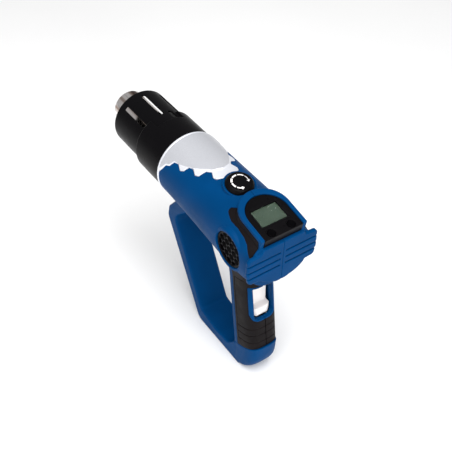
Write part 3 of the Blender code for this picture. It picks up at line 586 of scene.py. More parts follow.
class Graph:
    """A material's nodes, placed in object coordinates so that the grain has a real size."""

    def __init__(self, name):
        self.material = bpy.data.materials.new(name)
        self.material.use_nodes = True
        self.nodes = self.material.node_tree.nodes
        self.shader = self.nodes["Principled BSDF"]
        self.place = self.nodes.new("ShaderNodeTexCoord").outputs["Object"]

    def link(self, source, target):
        self.material.node_tree.links.new(source, target)

    def noise(self, scale, detail=3.0, stretch=None):
        texture = self.nodes.new("ShaderNodeTexNoise")
        texture.inputs["Scale"].default_value = scale
        texture.inputs["Detail"].default_value = detail
        place = self.place
        if stretch:
            mapping = self.nodes.new("ShaderNodeMapping")
            mapping.inputs["Scale"].default_value = stretch
            self.link(place, mapping.inputs["Vector"])
            place = mapping.outputs["Vector"]
        self.link(place, texture.inputs["Vector"])
        return texture.outputs["Fac"]

    def reach(self):
        """Distance from the barrel's axis."""
        mapping = self.nodes.new("ShaderNodeMapping")
        mapping.inputs["Location"].default_value = (0.0, 0.0, -AXIS_Z * MM)
        mapping.inputs["Scale"].default_value = (0.0, 1.0, 1.0)
        self.link(self.place, mapping.inputs["Vector"])
        length = self.nodes.new("ShaderNodeVectorMath")
        length.operation = "LENGTH"
        self.link(mapping.outputs["Vector"], length.inputs[0])
        return length.outputs["Value"]

    def ramp(self, source, stops):
        ramp = self.nodes.new("ShaderNodeValToRGB")
        elements = ramp.color_ramp.elements
        while len(elements) < len(stops):
            elements.new(0.5)
        for element, (position, colour) in zip(elements, stops):
            element.position = position
            element.color = (*colour, 1.0)
        self.link(source, ramp.inputs["Fac"])
        return ramp.outputs["Color"]

    def span(self, source, low, high, start=0.3, end=0.7):
        spread = self.nodes.new("ShaderNodeMapRange")
        spread.inputs["From Min"].default_value = start
        spread.inputs["From Max"].default_value = end
        spread.inputs["To Min"].default_value = low
        spread.inputs["To Max"].default_value = high
        self.link(source, spread.inputs["Value"])
        return spread.outputs["Result"]

    def mix(self, factor, a, b):
        mix = self.nodes.new("ShaderNodeMix")
        mix.data_type = "RGBA"
        self.link(factor, mix.inputs["Factor"])
        for socket, value in ((mix.inputs["A"], a), (mix.inputs["B"], b)):
            if isinstance(value, tuple):
                socket.default_value = (*value, 1.0)
            else:
                self.link(value, socket)
        return mix.outputs["Result"]

    def bump(self, source, depth):
        bump = self.nodes.new("ShaderNodeBump")
        bump.inputs["Strength"].default_value = 1.0
        bump.inputs["Distance"].default_value = depth * MM
        self.link(source, bump.inputs["Height"])
        return bump.outputs["Normal"]

    def colour(self, source):
        self.link(source, self.shader.inputs["Base Color"])

    def roughness(self, source):
        self.link(source, self.shader.inputs["Roughness"])

    def normal(self, source):
        self.link(source, self.shader.inputs["Normal"])

    def uniform(self, **values):
        for name, value in values.items():
            self.shader.inputs[name.replace("_", " ")].default_value = value


def shade(colour, factor):
    return tuple(min(channel * factor, 1.0) for channel in colour)


def moulded(name, colour, roughness, grain=1400.0, depth=0.012, shift=0.1, gloss=0.5):
    """Moulded plastic: slight clouding of its colour, a fine spark-eroded grain and rub marks."""
    g = Graph(name)
    cloud = g.noise(28.0, 2.0)
    g.colour(g.ramp(cloud, [(0.3, shade(colour, 1 - shift)), (0.7, shade(colour, 1 + shift))]))
    g.roughness(g.span(g.noise(160.0, 4.0), roughness - 0.06, roughness + 0.06))
    g.normal(g.bump(g.noise(grain, 2.0), depth))
    g.uniform(Specular_IOR_Level=gloss)
    return g.material


def painted(name, colour, roughness, metallic):
    """Silver paint with tiny bright flakes: satin on the raised crown, with a painted highlight that makes
    the flange below it brighter.
    """
    g = Graph(name)
    flakes = g.ramp(g.noise(3200.0, 1.0), [(0.42, shade(colour, 0.9)), (0.62, shade(colour, 1.08))])
    satin = g.mix(g.span(g.noise(24.0, 2.0), 0.0, 0.35), flakes, shade(colour, 0.93))
    # Painted highlight: below the crown's edge, by distance from the axis, the flange and the collar band
    # take a brighter copy of the colour.
    g.colour(g.mix(g.span(g.reach(), 0.0, 1.0, 0.03465, 0.03485), shade(colour, 1.38), satin))
    g.roughness(g.span(g.noise(300.0, 3.0), roughness - 0.05, roughness + 0.07))
    g.normal(g.bump(g.noise(2200.0, 2.0), 0.006))
    g.uniform(Metallic=metallic, Coat_Weight=0.25, Coat_Roughness=0.3)
    return g.material


def metal(name, colour, roughness, stretch=(1.0, 1.0, 1.0)):
    """Bare metal with drawing or rolling marks along one way."""
    g = Graph(name)
    marks = g.noise(400.0, 5.0, stretch)
    g.colour(g.ramp(g.noise(40.0, 2.0), [(0.3, shade(colour, 0.88)), (0.7, shade(colour, 1.08))]))
    g.roughness(g.span(marks, roughness - 0.06, roughness + 0.1))
    g.normal(g.bump(marks, 0.004))
    g.uniform(Metallic=1.0)
    return g.material


def tinted_tube_with_painted_reflections():
    """Polished steel tube, browned by its own heat, with light and dark streaks along its length painted into
    its colour as reflections, and drawing marks in its roughness.
    """
    g = Graph("heat_tinted_steel_with_painted_reflections")
    streaks = g.noise(70.0, 2.0, (0.04, 1.0, 1.0))
    # Partly real brown heat tint, partly painted reflections: near-white and near-black streaks along the
    # tube.
    tint_and_painted_reflections = g.ramp(
        streaks,
        [
            (0.38, (0.1, 0.055, 0.04)),
            (0.46, (0.4, 0.31, 0.26)),
            (0.53, (0.93, 0.86, 0.84)),
            (0.62, (0.97, 0.94, 0.93)),
            (0.68, (0.3, 0.22, 0.18)),
        ],
    )
    g.colour(tint_and_painted_reflections)
    marks = g.noise(240.0, 4.0, (0.1, 1.0, 1.0))
    g.roughness(g.span(marks, 0.1, 0.24))
    g.normal(g.bump(marks, 0.004))
    g.uniform(Metallic=1.0)
    return g.material


def display(name, colour, roughness):
    """LCD glass: an even grey-green with the faint grid of its rear polariser."""
    g = Graph(name)
    lines = g.noise(900.0, 1.0, (1.0, 6.0, 1.0))
    g.colour(g.mix(g.span(lines, 0.0, 0.5), colour, shade(colour, 0.86)))
    g.roughness(g.span(g.noise(90.0), roughness, roughness + 0.06))
    g.normal(g.bump(lines, 0.002))
    g.uniform(Specular_IOR_Level=0.2)
    return g.material


def clear(name):
    """Thin clear plastic over the display, with faint smears."""
    g = Graph(name)
    g.colour(g.ramp(g.noise(50.0), [(0.3, (0.9, 0.95, 0.92)), (0.7, (1.0, 1.0, 1.0))]))
    g.roughness(g.span(g.noise(120.0, 4.0), 0.02, 0.08))
    g.normal(g.bump(g.noise(300.0), 0.001))
    g.uniform(Transmission_Weight=1.0, IOR=1.05)
    return g.material


def palette():
    """A material for each slot that the record names, and a deeper black for the keys and dust screens."""
    return {
        "blue_housing": moulded("blue_abs", (0.0, 0.043, 0.148), 0.42, gloss=0.03),
        "black_plastic": moulded("black_abs", (0.0033, 0.003, 0.0036), 0.32, gloss=0.05),
        "deep_black": moulded("key_rubber", (0.001, 0.0009, 0.0013), 0.6, gloss=0.02),
        "soft_grip": moulded("soft_tpe", (0.0078, 0.006, 0.0065), 0.52, 1100.0, 0.03, 0.2, 0.06),
        "silver_paint": painted("silver_lacquer", (0.58, 0.59, 0.63), 0.36, 0.35),
        "stainless_steel": tinted_tube_with_painted_reflections(),
        "white_plastic": moulded("white_abs", (0.88, 0.84, 0.82), 0.35, shift=0.03),
        "circuit_board": moulded("solder_resist", (0.02, 0.16, 0.07), 0.35, 500.0, 0.04, 0.25),
        "brass": metal("brass_bar", (0.62, 0.45, 0.19), 0.3),
        "ceramic": moulded("fired_ceramic", (0.72, 0.68, 0.6), 0.85, 800.0, 0.05, 0.08),
        "mica": moulded("pressed_mica", (0.5, 0.42, 0.28), 0.4, 260.0, 0.05, 0.25),
        "clear_window": clear("clear_acrylic"),
        "lcd_glass": display("lcd_panel", (0.058, 0.082, 0.062), 0.3),
        "zinc_plated": metal("zinc_plate", (0.55, 0.55, 0.54), 0.34),
        "aluminium": metal("extruded_aluminium", (0.62, 0.63, 0.64), 0.38, (1.0, 8.0, 8.0)),
        "capacitor_sleeve": moulded("shrink_sleeve", (0.02, 0.02, 0.06), 0.32),
        "brown_lead": moulded("brown_pvc", (0.16, 0.06, 0.02), 0.45),
        "blue_lead": moulded("blue_pvc", (0.02, 0.12, 0.5), 0.45),
        "red_lead": moulded("red_pvc", (0.5, 0.02, 0.01), 0.45),
        "grey_lead": moulded("grey_pvc", (0.2, 0.2, 0.2), 0.45),
    }


# ---------------------------------------------------------------- housing pieces


def ready(obj, slot, body, *nodes, finish=None):
    """Gives a piece its material and its body, and hides the CAD nodes that it stands for."""
    obj.data.materials.clear()
    obj.data.materials.append(FINISH[finish or slot])
    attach(obj, body)
    if nodes:
        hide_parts(*nodes)
    return obj


def mirrored(obj, name):
    twin = copy_of(obj, name)
    twin.data.transform(Matrix.Scale(-1, 4, (0, 1, 0)))
    twin.data.flip_normals()
    return twin


def screw_recesses(name):
    """Counterbores over the screw heads, in the right-hand side only."""
    return [
        cross_rod(f"{name}_{i}", 3.4, x, z, -45, SCREW_SEAT - reach)
        for i, (x, z, reach) in enumerate(SCREWS)
    ]


def region(name, outline):
    """A side view's outline, right through the gun."""
    return plate(name, outline, -45, 45, SIDE)


def housing():
    """Both halves of the clamshell, rounded as moulded parts are."""
    axis = barrel_axis()
    shell = join(head("shell"), grip("shell_grip"))
    cap = plate("cap_pocket", cap_outline(-0.25), AXIS_Z + 4, AXIS_Z + 45)
    cut(cap, head("cap_core", -CAP_DEPTH))
    rubber = cut(region("rubber_pocket", rubber_outline()), grip("rubber_core", -RUBBER))
    inlay = region("inlay_pocket", inlay_outline())
    cut(inlay, head("inlay_core", -INLAY_DEPTH), pad_core("inlay_pad_core", 0.0))
    cut(shell, cap, rubber)
    join(shell, panel_pad("panel_pad", RIM_RISE))
    cut(shell, inlay)
    join(
        shell,
        rod("knob_boss", KNOB_R + 1.8, -9, -KNOB_SINK + 0.6, panel_place(KNOB_CENTRE)),
        plate("bumper_form", bumper_outline(), REAR_X, BUMPER_FRONT_X, REAR, 1.4),
        rod("spigot", SPIGOT_R, 0, SPIGOT_END_X, axis),
    )
    well = panel_outline(BEZEL_HALF_WIDTH - 1.8, BEZEL_ARC_U, 30.0)
    cut(
        shell,
        head("head_cavity", -WALL, 6.0, -124.0),
        grip("grip_cavity", -RUBBER - 2.6, 18.0, 152.0),
        plate("panel_well", well, -26, 0, panel_place()),
    )
    bezel = panel_outline(BEZEL_HALF_WIDTH + 0.2, BEZEL_ARC_U, BEZEL_END_U + 12)
    skirt_low = (BEZEL_END_U - 2.0, -BEZEL_HALF_WIDTH - 0.2, -SKIRT_DEPTH - 0.3)
    half = keep(shell, left_side("left_side"), foot_plane_tool("above_foot", 1))
    join(half, vent_boss())
    x, z = VENT_CENTRE
    cut(
        half,
        plate("bezel_seat", bezel, -BEZEL_DEPTH - 0.3, 12, panel_place()),
        box("skirt_seat", skirt_low, (60.0, BEZEL_HALF_WIDTH + 0.2, 12), panel_place()),
        rod("knob_seat", KNOB_R + 0.6, -KNOB_SINK - 0.3, 12, panel_place(KNOB_CENTRE)),
        rod("knob_hole", 4.4, -20, 0, panel_place(KNOB_CENTRE)),
        rod("tube_bore", TUBE_R + 0.3, -1, 40, axis),
        box("tongue_slot", (-8.3, -7.3, 138), (6.3, 7.3, 156)),
        box("post_socket", (-106.5, -9.0, 20), (-84.5, 9.0, 56.5)),
        plate("switch_window", window_outline(), -130, -94, REAR),
        cross_rod("vent_seat", VENT_R + 0.25, x, z, VENT_FACE_Y - 2.4, 45.0),
        cross_rod("vent_hole", VENT_R - 0.9, x, z, 10.0, 45.0),
        *bumper_grooves(),
    )
    other = mirrored(half, "housing_shell_right")
    cut(other, *screw_recesses("recess"))
    half.name = "housing_shell_left"
    for obj, node in ((half, "housing_left"), (other, "housing_right")):
        soften(obj, 0.42)
        ready(obj, "blue_housing", "gun", node)


def panel_pad(name, high):
    """The raised frame round the control panel, up to a height over its face."""
    return plate(name, panel_outline(RIM_HALF_WIDTH, RIM_ARC_U, 31.8), -16, high, panel_place(), 1.2)


def pad_core(name, grow):
    """The inside of that frame, where the side strips stop."""
    return plate(name, panel_outline(PAD_CORE + grow, RIM_ARC_U, 60.0), -30, 12, panel_place())


def window_outline():
    """The switch's opening seen from behind, with round lower corners."""
    half = SWITCH_HALF_WIDTH
    top, bottom = WINDOW_TOP_Z, WINDOW_BOTTOM_Z
    return rounded([(-half, top, 0), (-half, bottom, 4.5), (half, bottom, 4.5), (half, top, 0)])


def vent_boss():
    """The raised ring round the grille, with rounded shoulders."""
    profile = [
        (VENT_BOSS_R + 1.4, VENT_LEDGE_Y),
        (VENT_BOSS_R + 0.4, VENT_BOSS_Y - 1.6),
        (VENT_BOSS_R - 0.6, VENT_BOSS_Y - 0.4),
        (VENT_BOSS_R - 1.6, VENT_BOSS_Y),
        (VENT_R - 2.6, VENT_BOSS_Y),
        (VENT_R - 2.6, VENT_LEDGE_Y),
    ]
    return turned("vent_boss", profile, facing_left(*VENT_CENTRE))


def bumper_grooves():
    """Three grooves across the side of the bumper, which run out at its end."""
    return [
        box(f"bumper_groove_{i}", (REAR_X - 3, 2.6, z - 0.85), (REAR_X + 1.8, 45.0, z + 0.85))
        for i, z in enumerate(GROOVES_Z)
    ]


def soft_grip():
    """Rubber skins of the handle, with their ribs and panel lines."""
    x, z = VENT_CENTRE
    skin = grip("soft_grip")
    keep(skin, region("rubber_region", shrunk(rubber_outline(), HALF_GAP)), left_side("rubber_side", 0.3))
    keep(skin, foot_plane_tool("rubber_above_foot", 1))
    cut(skin, grip("rubber_inner", 0.1 - RUBBER), head("under_head", HALF_GAP))
    cut(skin, cross_rod("vent_clearance", VENT_BOSS_R + 1.0, x, z, -45, 45))
    other = mirrored(skin, "grip_skin_right")
    cut(other, *screw_recesses("rubber_recess"))
    skin.name = "grip_skin_left"
    for obj, node in ((skin, "grip_rubber_left"), (other, "grip_rubber_right")):
        soften(obj, 0.34, 3, 150000)
        grip_lines(obj)
        ready(obj, "soft_grip", "gun", node)


def groove(distance, width, depth):
    """Depth of a round-bottomed groove at a distance from its middle line."""
    reach = abs(distance) / width
    return depth * (1 - reach * reach) ** 2 if reach < 1 else 0.0


def line_depth(x, z, ny, nz):
    """Depth of the ribs and panel lines at a point of the handle, from its place and its normal."""
    across = x - grip_x(z)
    if abs(nz) > 0.8:
        return 0.0
    lean = z + 0.32 * across
    ribs = max(groove(lean - rib, 0.8, 0.6) for rib in RIBS_Z) if across < 2.6 else 0.0
    if abs(ny) < 0.6:
        return ribs
    lines = groove(across - 3.0, 0.6, 0.45) if 44.0 < z and lean < PANEL_LINE_LEAN else 0.0
    if -12.0 < across < 3.0:
        lines = max(lines, groove(lean - PANEL_LINE_LEAN, 0.6, 0.45))
    return max(ribs, lines)


def grip_lines(obj):
    """Presses the ribs round the foot of the handle and the outlined panel into the rubber."""
    mesh = obj.data
    places = np.empty(len(mesh.vertices) * 3, dtype=np.float32)
    normals = np.empty(len(mesh.vertices) * 3, dtype=np.float32)
    mesh.vertices.foreach_get("co", places)
    mesh.vertex_normals.foreach_get("vector", normals)
    places = places.reshape(-1, 3)
    normals = normals.reshape(-1, 3)
    for i, ((x, y, z), (nx, ny, nz)) in enumerate(zip((places / MM).tolist(), normals.tolist())):
        if (x - grip_x(z)) * nx + y * ny > 0:
            places[i] -= normals[i] * line_depth(x, z, ny, nz) * MM
    mesh.vertices.foreach_set("co", places.ravel())
    mesh.update()


def side_strips():
    """Dark strips between the grilles and the control panel."""
    x, z = VENT_CENTRE
    strip = join(head("side_strip_left", 0.05), panel_pad("strip_wall", RIM_LINE))
    keep(strip, region("inlay_region", shrunk(inlay_outline(), HALF_GAP)), left_side("strip_side"))
    cut(
        strip,
        head("strip_core", HALF_GAP - INLAY_DEPTH),
        pad_core("strip_pad_core", HALF_GAP),
        cross_rod("strip_vent", VENT_BOSS_R + 1.0, x, z, -45, 45),
    )
    other = mirrored(strip, "side_strip_right")
    for obj, node in ((strip, "side_inlay_left"), (other, "side_inlay_right")):
        soften(obj, 0.25, 3, 90000)
        ready(obj, "soft_grip", "gun", node)


def crown_angle(x):
    """Half the width of the crown at x, in degrees; behind the crown it is below zero."""
    for (x0, a0), (x1, a1) in zip(CAP_CREASE, CAP_CREASE[1:]):
        if x1 <= x <= x0:
            return a1 + (a0 - a1) * (x - x1) / (x0 - x1)
    return CAP_CREASE[0][1] if x > CAP_CREASE[0][0] else -8.0


def silver_cap():
    cap = keep(
        head("cap_skin", 0.4, HEAD_FRONT_X - 0.2, -60.0),
        plate("cap_region", cap_outline(0.0), AXIS_Z + 4.3, AXIS_Z + 45),
    )
    cut(
        cap,
        head("cap_inner", HALF_GAP - CAP_DEPTH),
        rod("cap_knob_clearance", KNOB_R + 2.1, -20, 20, panel_place(KNOB_CENTRE)),
    )
    soften(cap, 0.34, 3, 190000)
    for vertex in cap.data.vertices:
        x, y, z = vertex.co / MM
        height = z - AXIS_Z
        if math.hypot(y, height) < 33.2:
            continue
        beyond = math.radians(crown_angle(x) - abs(math.degrees(math.atan2(y, height)))) * HEAD_R
        rise = min(max((beyond + 0.45) / 0.9, 0.0), 1.0)
        out = Vector((0.0, y, height)).normalized()
        vertex.co += out * (rise * rise * (3 - 2 * rise) * 0.75 - 0.15) * MM
    cap.data.update()
    ready(cap, "silver_paint", "gun", "silver_cap")
    profile = [
        (HEAD_R + 0.2, 16.75),
        (HEAD_R + 0.6, 17.3),
        (HEAD_R + 0.6, 18.6),
        (HEAD_R + 0.1, 19.1),
        (SPIGOT_R + 0.3, 19.1),
        (SPIGOT_R + 0.3, 16.75),
    ]
    ring = turned("collar_band", profile, barrel_axis(), 160)
    ready(bevelled(ring, 0.12, 2), "silver_paint", "gun", "collar_ring")


def heel_rings():
    """The rounded heel under the handle, from the standing surface up."""
    count = 72
    levels = (
        (0.0, -97.0, 14.8),
        (1.6, -104.0, 16.2),
        (5.5, -110.4, 17.0),
        (12.0, -116.2, 17.2),
        (24.0, -121.4, 17.2),
        (50.0, -123.4, 17.2),
    )
    rings = []
    for z, rear_x, half_width in between(levels, 4):
        front_x = grip_x(max(z, 20.0)) + GRIP_DEPTH
        middle = (front_x + rear_x) / 2
        ring = []
        for i in range(count):
            x, y = power_point(2 * math.pi * i / count, (front_x - rear_x) / 2, half_width, GRIP_POWER)
            ring.append((middle + x, y, z))
        rings.append(ring)
    return rings


def guard_loop():
    """Strut and foot in one moulding."""
    outline = rounded(
        [
            (-20.0, 150.0, 0),
            (10.0, 146.0, 0),
            (30.5, 121.5, 7),
            (33.0, 108.0, 12),
            (-23.0, 2.8, 6),
            (-30.0, 0.0, 6),
            (-99.0, 0.0, 0),
            (-99.0, 30.0, 0),
            (-89.5, 27.5, 3),
            (-80.0, 14.2, 12),
            (-56.0, 13.0, 30),
            (-29.5, 18.0, 5),
            (19.5, 115.0, 12),
            (-2.0, 136.0, 12),
            (-26.0, 143.0, 0),
        ],
        10,
    )
    loop = plate("guard_frame", outline, -GUARD_HALF_WIDTH, GUARD_HALF_WIDTH, SIDE, 2.0, 5)
    heel = keep(loft("guard_heel", heel_rings()), foot_plane_tool("below_foot", -1))
    clear_zone = foot_plane_tool("under_handle", 1)
    keep(clear_zone, box("handle_zone", (-140, -40, 20), (-84, 40, 90)))
    cut(loop, head("guard_belly_clearance", HALF_GAP), clear_zone)
    join(loop, heel)
    cord = at(CORD_X, 0, 0)
    cut(loop, rod("cord_bore", 4.6, -5, 80, cord), rod("grommet_seat", 7.4, -5, 3.2, cord))
    soften(loop, 0.55)
    ready(loop, "blue_housing", "gun", "guard_loop")


# ---------------------------------------------------------------- hot end


def wedge(name, half_angle):
    """A sector round the barrel's axis, centred on the top."""
    spread = 60.0 * math.tan(math.radians(half_angle))
    outline = [(0.0, 0.0), (spread, 60.0), (-spread, 60.0)]
    return plate(name, outline, 30, 90, at(0, 0, AXIS_Z) @ REAR)


def radial_slot(name, angle, start_x, end_x, width):
    """A slot with rounded corners that leaves the barrel's axis at angle from the top."""
    place = at(0, 0, AXIS_Z) @ Matrix.Rotation(-math.radians(angle), 4, "X")
    return plate(name, rounded_box(start_x, end_x, width / 2, 1.2), 24, 45, place)


def heat_shield():
    inner = SHIELD_FRONT_R - SHIELD_WALL
    profile = [
        (SHIELD_FRONT_R - 0.5, SHIELD_FRONT_X),
        (SHIELD_FRONT_R - 0.1, SHIELD_FRONT_X - 0.3),
        (SHIELD_FRONT_R, SHIELD_FRONT_X - 0.9),
        (SHIELD_FRONT_R, SHIELD_SIDE_STEP_X + 1.6),
        (SHIELD_FRONT_R + 0.4, SHIELD_SIDE_STEP_X + 1.1),
        (SHIELD_REAR_R - 0.5, SHIELD_SIDE_STEP_X - 1.0),
        (SHIELD_REAR_R, SHIELD_SIDE_STEP_X - 1.8),
        (SHIELD_REAR_R, SHIELD_BACK_X),
        (SPIGOT_R + 0.3, SHIELD_BACK_X),
        (SPIGOT_R + 0.3, SHIELD_TOP_STEP_X - 5),
        (inner, SHIELD_TOP_STEP_X - 2),
        (inner, SHIELD_FRONT_X - 2.6),
        (inner - 2.0, SHIELD_FRONT_X - 2.6),
        (inner - 2.0, SHIELD_FRONT_X),
    ]
    shield = turned("shield_skin", profile, barrel_axis(), 192)
    notch = tube("top_notch", 45, SHIELD_FRONT_R, SHIELD_TOP_STEP_X, 66, barrel_axis(), 192)
    cut(shield, keep(notch, wedge("notch_sector", 27.0)))
    for angle in SLOT_ANGLES:
        cut(shield, radial_slot(f"slot_{angle}", angle, 64.0, 102.0, 4.2))
    for angle in (-18, 162):
        cut(shield, radial_slot(f"catch_{angle}", angle, 54.0, 66.0, 5.0))
    soften(shield, 0.34, 2, 190000)
    ready(shield, "black_plastic", "gun", "heat_shield")


def nozzle_tube():
    """The steel tube, its mouth rolled over a little."""
    wall = 0.6
    profile = [
        (TUBE_R - 0.1, MOUTH_X),
        (TUBE_R, MOUTH_X - 0.35),
        (TUBE_R, 121.0),
        (TUBE_R - 0.25, 120.4),
        (TUBE_R - 0.25, 119.4),
        (TUBE_R, 118.8),
        (TUBE_R, TUBE_BACK_X),
        (TUBE_R - wall, TUBE_BACK_X),
        (TUBE_R - wall, MOUTH_X - 0.35),
        (TUBE_R - wall + 0.12, MOUTH_X),
    ]
    tube_piece = turned("hot_air_tube", profile, barrel_axis(), 192)
    ready(bevelled(tube_piece, 0.05, 1, 60), "stainless_steel", "gun", "nozzle_tube")


# ---------------------------------------------------------------- grilles


def grilles():
    """Round inserts with hexagonal air holes in staggered rows, and a dark dust screen behind each."""
    x, z = VENT_CENTRE
    pitch, hole = 7.4, 6.6
    profile = [
        (0.0, VENT_FACE_Y - 0.7),
        (VENT_R - 1.8, VENT_FACE_Y - 0.7),
        (VENT_R - 1.6, VENT_FACE_Y - 2.0),
        (VENT_R, VENT_FACE_Y - 2.0),
        (VENT_R, VENT_FACE_Y - 0.2),
        (VENT_R - 0.4, VENT_FACE_Y + 0.25),
        (VENT_R - 1.2, VENT_FACE_Y + 0.25),
        (VENT_R - 1.7, VENT_FACE_Y - 0.35),
        (0.0, VENT_FACE_Y - 0.1),
    ]
    grille = turned("grille_left", profile, facing_left(x, z), 128)
    holes = []
    for row in range(-2, 3):
        for column in range(-3, 4):
            across = (column + 0.5 * (row % 2)) * pitch
            up = row * pitch * math.sqrt(3) / 2
            if math.hypot(across, up) > VENT_R - 2.0:
                continue
            spot = facing_left(x + across, z + up)
            turn = Matrix.Rotation(math.radians(30), 4, "Z")
            holes.append(rod("grille_hole", hole / math.sqrt(3), 20, 45, spot @ turn, 6))
    openings = join(*holes)
    cut(grille, keep(openings, cross_rod("grille_field", VENT_R - 1.9, x, z, 10, 50)))
    bevelled(grille, 0.1, 2, 50)
    other = mirrored(grille, "grille_right")
    ready(grille, "black_plastic", "gun", "vent_grille_left")
    ready(other, "black_plastic", "gun", "vent_grille_right")
    screen = cross_rod("dust_screen_left", VENT_R - 1.7, x, z, VENT_FACE_Y - 1.95, VENT_FACE_Y - 1.65)
    for piece in (screen, mirrored(screen, "dust_screen_right")):
        ready(piece, "black_plastic", "gun", finish="deep_black")


# ---------------------------------------------------------------- controls


def control_panel():
    place = panel_place()
    outer = panel_outline(BEZEL_HALF_WIDTH, BEZEL_ARC_U, BEZEL_END_U)
    inner = panel_outline(BEZEL_HALF_WIDTH - 2.0, BEZEL_ARC_U, BEZEL_END_U - 2.0)
    bezel = plate("panel_face", outer, -BEZEL_DEPTH, 0.0, place, 0.7)
    cut(bezel, plate("bezel_hollow", inner, -12, -2.0, place))
    skirt = (BEZEL_END_U - 1.6, -BEZEL_HALF_WIDTH, -SKIRT_DEPTH), (BEZEL_END_U, BEZEL_HALF_WIDTH, -1.0)
    join(bezel, box("bezel_skirt", *skirt, place))
    cut(bezel, window_tool("bezel_window", 0.0, -9, 9))
    cut(bezel, window_tool("window_step", -1.1, -0.45, 9))
    for side in (-1, 1):
        spot = place @ at(BUTTON_U, side * BUTTON_Y, 0)
        cut(bezel, rod("button_hole", BUTTON_R + 0.25, -9, 9, spot))
    soften(bezel, 0.2, 2, 170000)
    ready(bezel, "black_plastic", "gun", "panel_bezel")
    for name, side in (("left", -1), ("right", 1)):
        spot = place @ at(BUTTON_U, side * BUTTON_Y, 0)
        profile = [
            (0.0, 0.3),
            (BUTTON_R - 1.6, 0.4),
            (BUTTON_R - 0.9, 0.6),
            (BUTTON_R - 0.35, 0.5),
            (BUTTON_R, 0.1),
            (BUTTON_R, -2.4),
            (0.0, -2.4),
        ]
        button = turned(f"key_cap_{name}", profile, spot, 96)
        button.data.shade_smooth()
        button.data.set_sharp_from_angle(angle=math.radians(50))
        ready(button, "black_plastic", f"key_{name}", f"button_{name}", finish="deep_black")
    display_lens()


def window_tool(name, inset, low, high):
    """The display's opening, as a block with slightly rounded corners."""
    outline = rounded_box(inset, WINDOW_LENGTH - inset, WINDOW_HALF_WIDTH - inset, 0.7)
    return plate(name, outline, low, high, panel_place())


def display_lens():
    lens = window_tool("display_lens", 0.25, -2.0, -1.3)
    ready(bevelled(lens, 0.12, 2), "clear_window", "gun", "display_window")


def temperature_knob():
    place = panel_place(KNOB_CENTRE)
    profile = [
        (0.0, KNOB_TOP),
        (KNOB_R - 3.2, KNOB_TOP),
        (KNOB_R - 2.5, KNOB_TOP - 0.12),
        (KNOB_R - 2.0, KNOB_TOP - 0.45),
        (KNOB_R - 0.8, 0.7),
        (KNOB_R - 0.35, 0.1),
        (KNOB_R - 0.2, -0.6),
        (KNOB_R - 0.2, -KNOB_SINK),
        (0.0, -KNOB_SINK),
    ]
    knob = turned("knob_cap", profile, place, 160)
    knob.data.shade_smooth()
    knob.data.set_sharp_from_angle(angle=math.radians(50))
    ready(knob, "black_plastic", "knob", "temperature_knob")
    ready(knob_scale(place), "white_plastic", "knob")


def knob_scale(place):
    """White scale on the knob: an arc of bars that grow thicker, with an arrow head at each end."""
    bars = (
        (74, 116, 0.5),
        (124, 166, 1.0),
        (174, 211, 1.4),
        (219, 252, 1.8),
        (260, 297, 1.6),
        (305, 340, 1.3),
    )
    middle = 7.7
    bm = bmesh.new()
    for first, last, width in bars:
        angles = [math.radians(first + (last - first) * k / 12) for k in range(13)]
        ring = [(middle + width / 2, a) for a in angles]
        ring += [(middle - width / 2, a) for a in reversed(angles)]
        add_prism(bm, [(r * math.cos(a), r * math.sin(a)) for r, a in ring])
    for start, tip, size in ((75, 60, 1.5), (339, 357, 2.0)):
        ring = ((middle - size, start), (middle, tip), (middle + size, start))
        corners = [(r, math.radians(a)) for r, a in ring]
        add_prism(bm, [(r * math.cos(a), r * math.sin(a)) for r, a in corners])
    return put("knob_scale", bm, place)


def add_prism(bm, outline):
    """Adds a thin print on the knob's top, over the outline."""
    low, high = KNOB_TOP - 0.1, KNOB_TOP + 0.06
    bottom = [bm.verts.new((x * MM, y * MM, low * MM)) for x, y in outline]
    top = [bm.verts.new((x * MM, y * MM, high * MM)) for x, y in outline]
    bm.faces.new(bottom)
    bm.faces.new(top)
    for i in range(len(outline)):
        j = (i + 1) % len(outline)
        bm.faces.new((bottom[i], bottom[j], top[j], top[i]))


def rocker():
    """Rocker pressed at its top, so that its lower end stands out as a round bump."""
    px, pz = ROCKER_PIVOT
    outline = rounded(
        [
            (-1.5, 17.0, 0.8),
            (-2.8, -5.5, 1.0),
            (-10.6, -5.2, 2.5),
            (-11.8, -9.5, 3.0),
            (-10.5, -16.6, 4.5),
            (-4.0, -17.2, 1.5),
            (1.0, -12.0, 2.0),
            (1.0, 12.0, 2.0),
        ],
        10,
    )
    half = ROCKER_HALF_WIDTH
    piece = plate("rocker_cap", outline, -half, half, at(px, 0, pz) @ SIDE, 0.8, 5)
    half += 1
    low, high = pz - 17.2, pz + 20
    from_behind = rounded([(-half, high, 0), (-half, low, 9.5), (half, low, 9.5), (half, high, 0)])
    radius, rear = 13.5, px - 11.8
    angles = [math.radians(90 + 180 * i / 32) for i in range(33)]
    from_above = [(rear + radius + radius * math.cos(a), radius * math.sin(a)) for a in angles]
    from_above += [(-90, -radius), (-90, radius)]
    keep(piece, plate("rocker_corners", from_behind, -130, -90, REAR))
    keep(piece, plate("rocker_back", from_above, 60, 130))
    soften(piece, 0.25, 3, 60000)
    ready(piece, "white_plastic", "rocker", "power_rocker")


# ---------------------------------------------------------------- scene


def finish_carried_nodes():
    """Gives every CAD node that stays its material, by the slot that the record names for it."""
    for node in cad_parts.values():
        for slot in node.material_slots:
            slot.material = FINISH[slot.material.name.split(".")[0]]


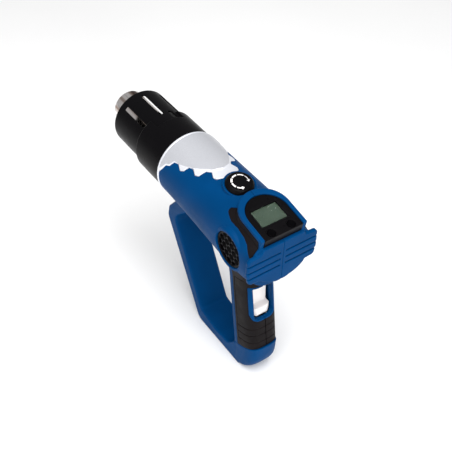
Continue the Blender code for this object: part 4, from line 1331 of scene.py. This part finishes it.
def camera():
    """Behind the gun, to its left and above it."""
    data = bpy.data.cameras.new("camera")
    data.sensor_width = 36.0
    data.lens = 63.72
    data.clip_end = 50.0
    obj = bpy.data.objects.new("camera", data)
    obj.location = (-0.4965, 0.3190, 0.6676)
    obj.rotation_euler = [math.radians(a) for a in (46.528, -0.963, -124.497)]
    bpy.context.scene.collection.objects.link(obj)
    bpy.context.scene.camera = obj


def area_light(name, place, aim, size, power):
    data = bpy.data.lights.new(name, "AREA")
    data.shape = "RECTANGLE"
    data.size, data.size_y = size
    data.energy = power
    obj = bpy.data.objects.new(name, data)
    obj.location = place
    obj.rotation_euler = (Vector(aim) - Vector(place)).to_track_quat("-Z", "Y").to_euler()
    bpy.context.scene.collection.objects.link(obj)


def studio():
    """A plain white floor and large soft lights."""
    bm = bmesh.new()
    bmesh.ops.create_grid(bm, x_segments=1, y_segments=1, size=6.0)
    floor = put("floor", bm)
    g = Graph("studio_paper")
    g.colour(g.ramp(g.noise(3.0), [(0.3, (0.92, 0.92, 0.92)), (0.7, (0.95, 0.95, 0.95))]))
    g.uniform(Roughness=0.9)
    floor.data.materials.append(g.material)
    scene = bpy.context.scene
    scene.view_settings.view_transform = "Standard"
    world = bpy.data.worlds.new("studio")
    world.use_nodes = True
    world.node_tree.nodes["Background"].inputs["Color"].default_value = (1.0, 1.0, 1.0, 1.0)
    world.node_tree.nodes["Background"].inputs["Strength"].default_value = 0.35
    scene.world = world
    area_light("key", (-0.4, 0.2, 1.7), (0, 0, 0.1), (1.4, 1.4), 32.0)
    area_light("side", (-0.3, 1.6, 0.9), (0, 0, 0.12), (1.2, 1.0), 6.0)
    area_light("rear", (-1.6, 0.2, 0.7), (0, 0, 0.12), (1.0, 0.8), 14.0)


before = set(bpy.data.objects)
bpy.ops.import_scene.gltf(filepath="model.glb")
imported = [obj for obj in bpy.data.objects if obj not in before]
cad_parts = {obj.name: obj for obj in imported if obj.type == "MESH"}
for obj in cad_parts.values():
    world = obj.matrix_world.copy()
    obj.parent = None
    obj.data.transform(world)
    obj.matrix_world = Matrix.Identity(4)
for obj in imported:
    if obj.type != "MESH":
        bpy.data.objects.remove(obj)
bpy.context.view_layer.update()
FINISH = palette()
camera()
studio()
housing()
soft_grip()
side_strips()
silver_cap()
guard_loop()
heat_shield()
nozzle_tube()
grilles()
control_panel()
temperature_knob()
rocker()
finish_carried_nodes()
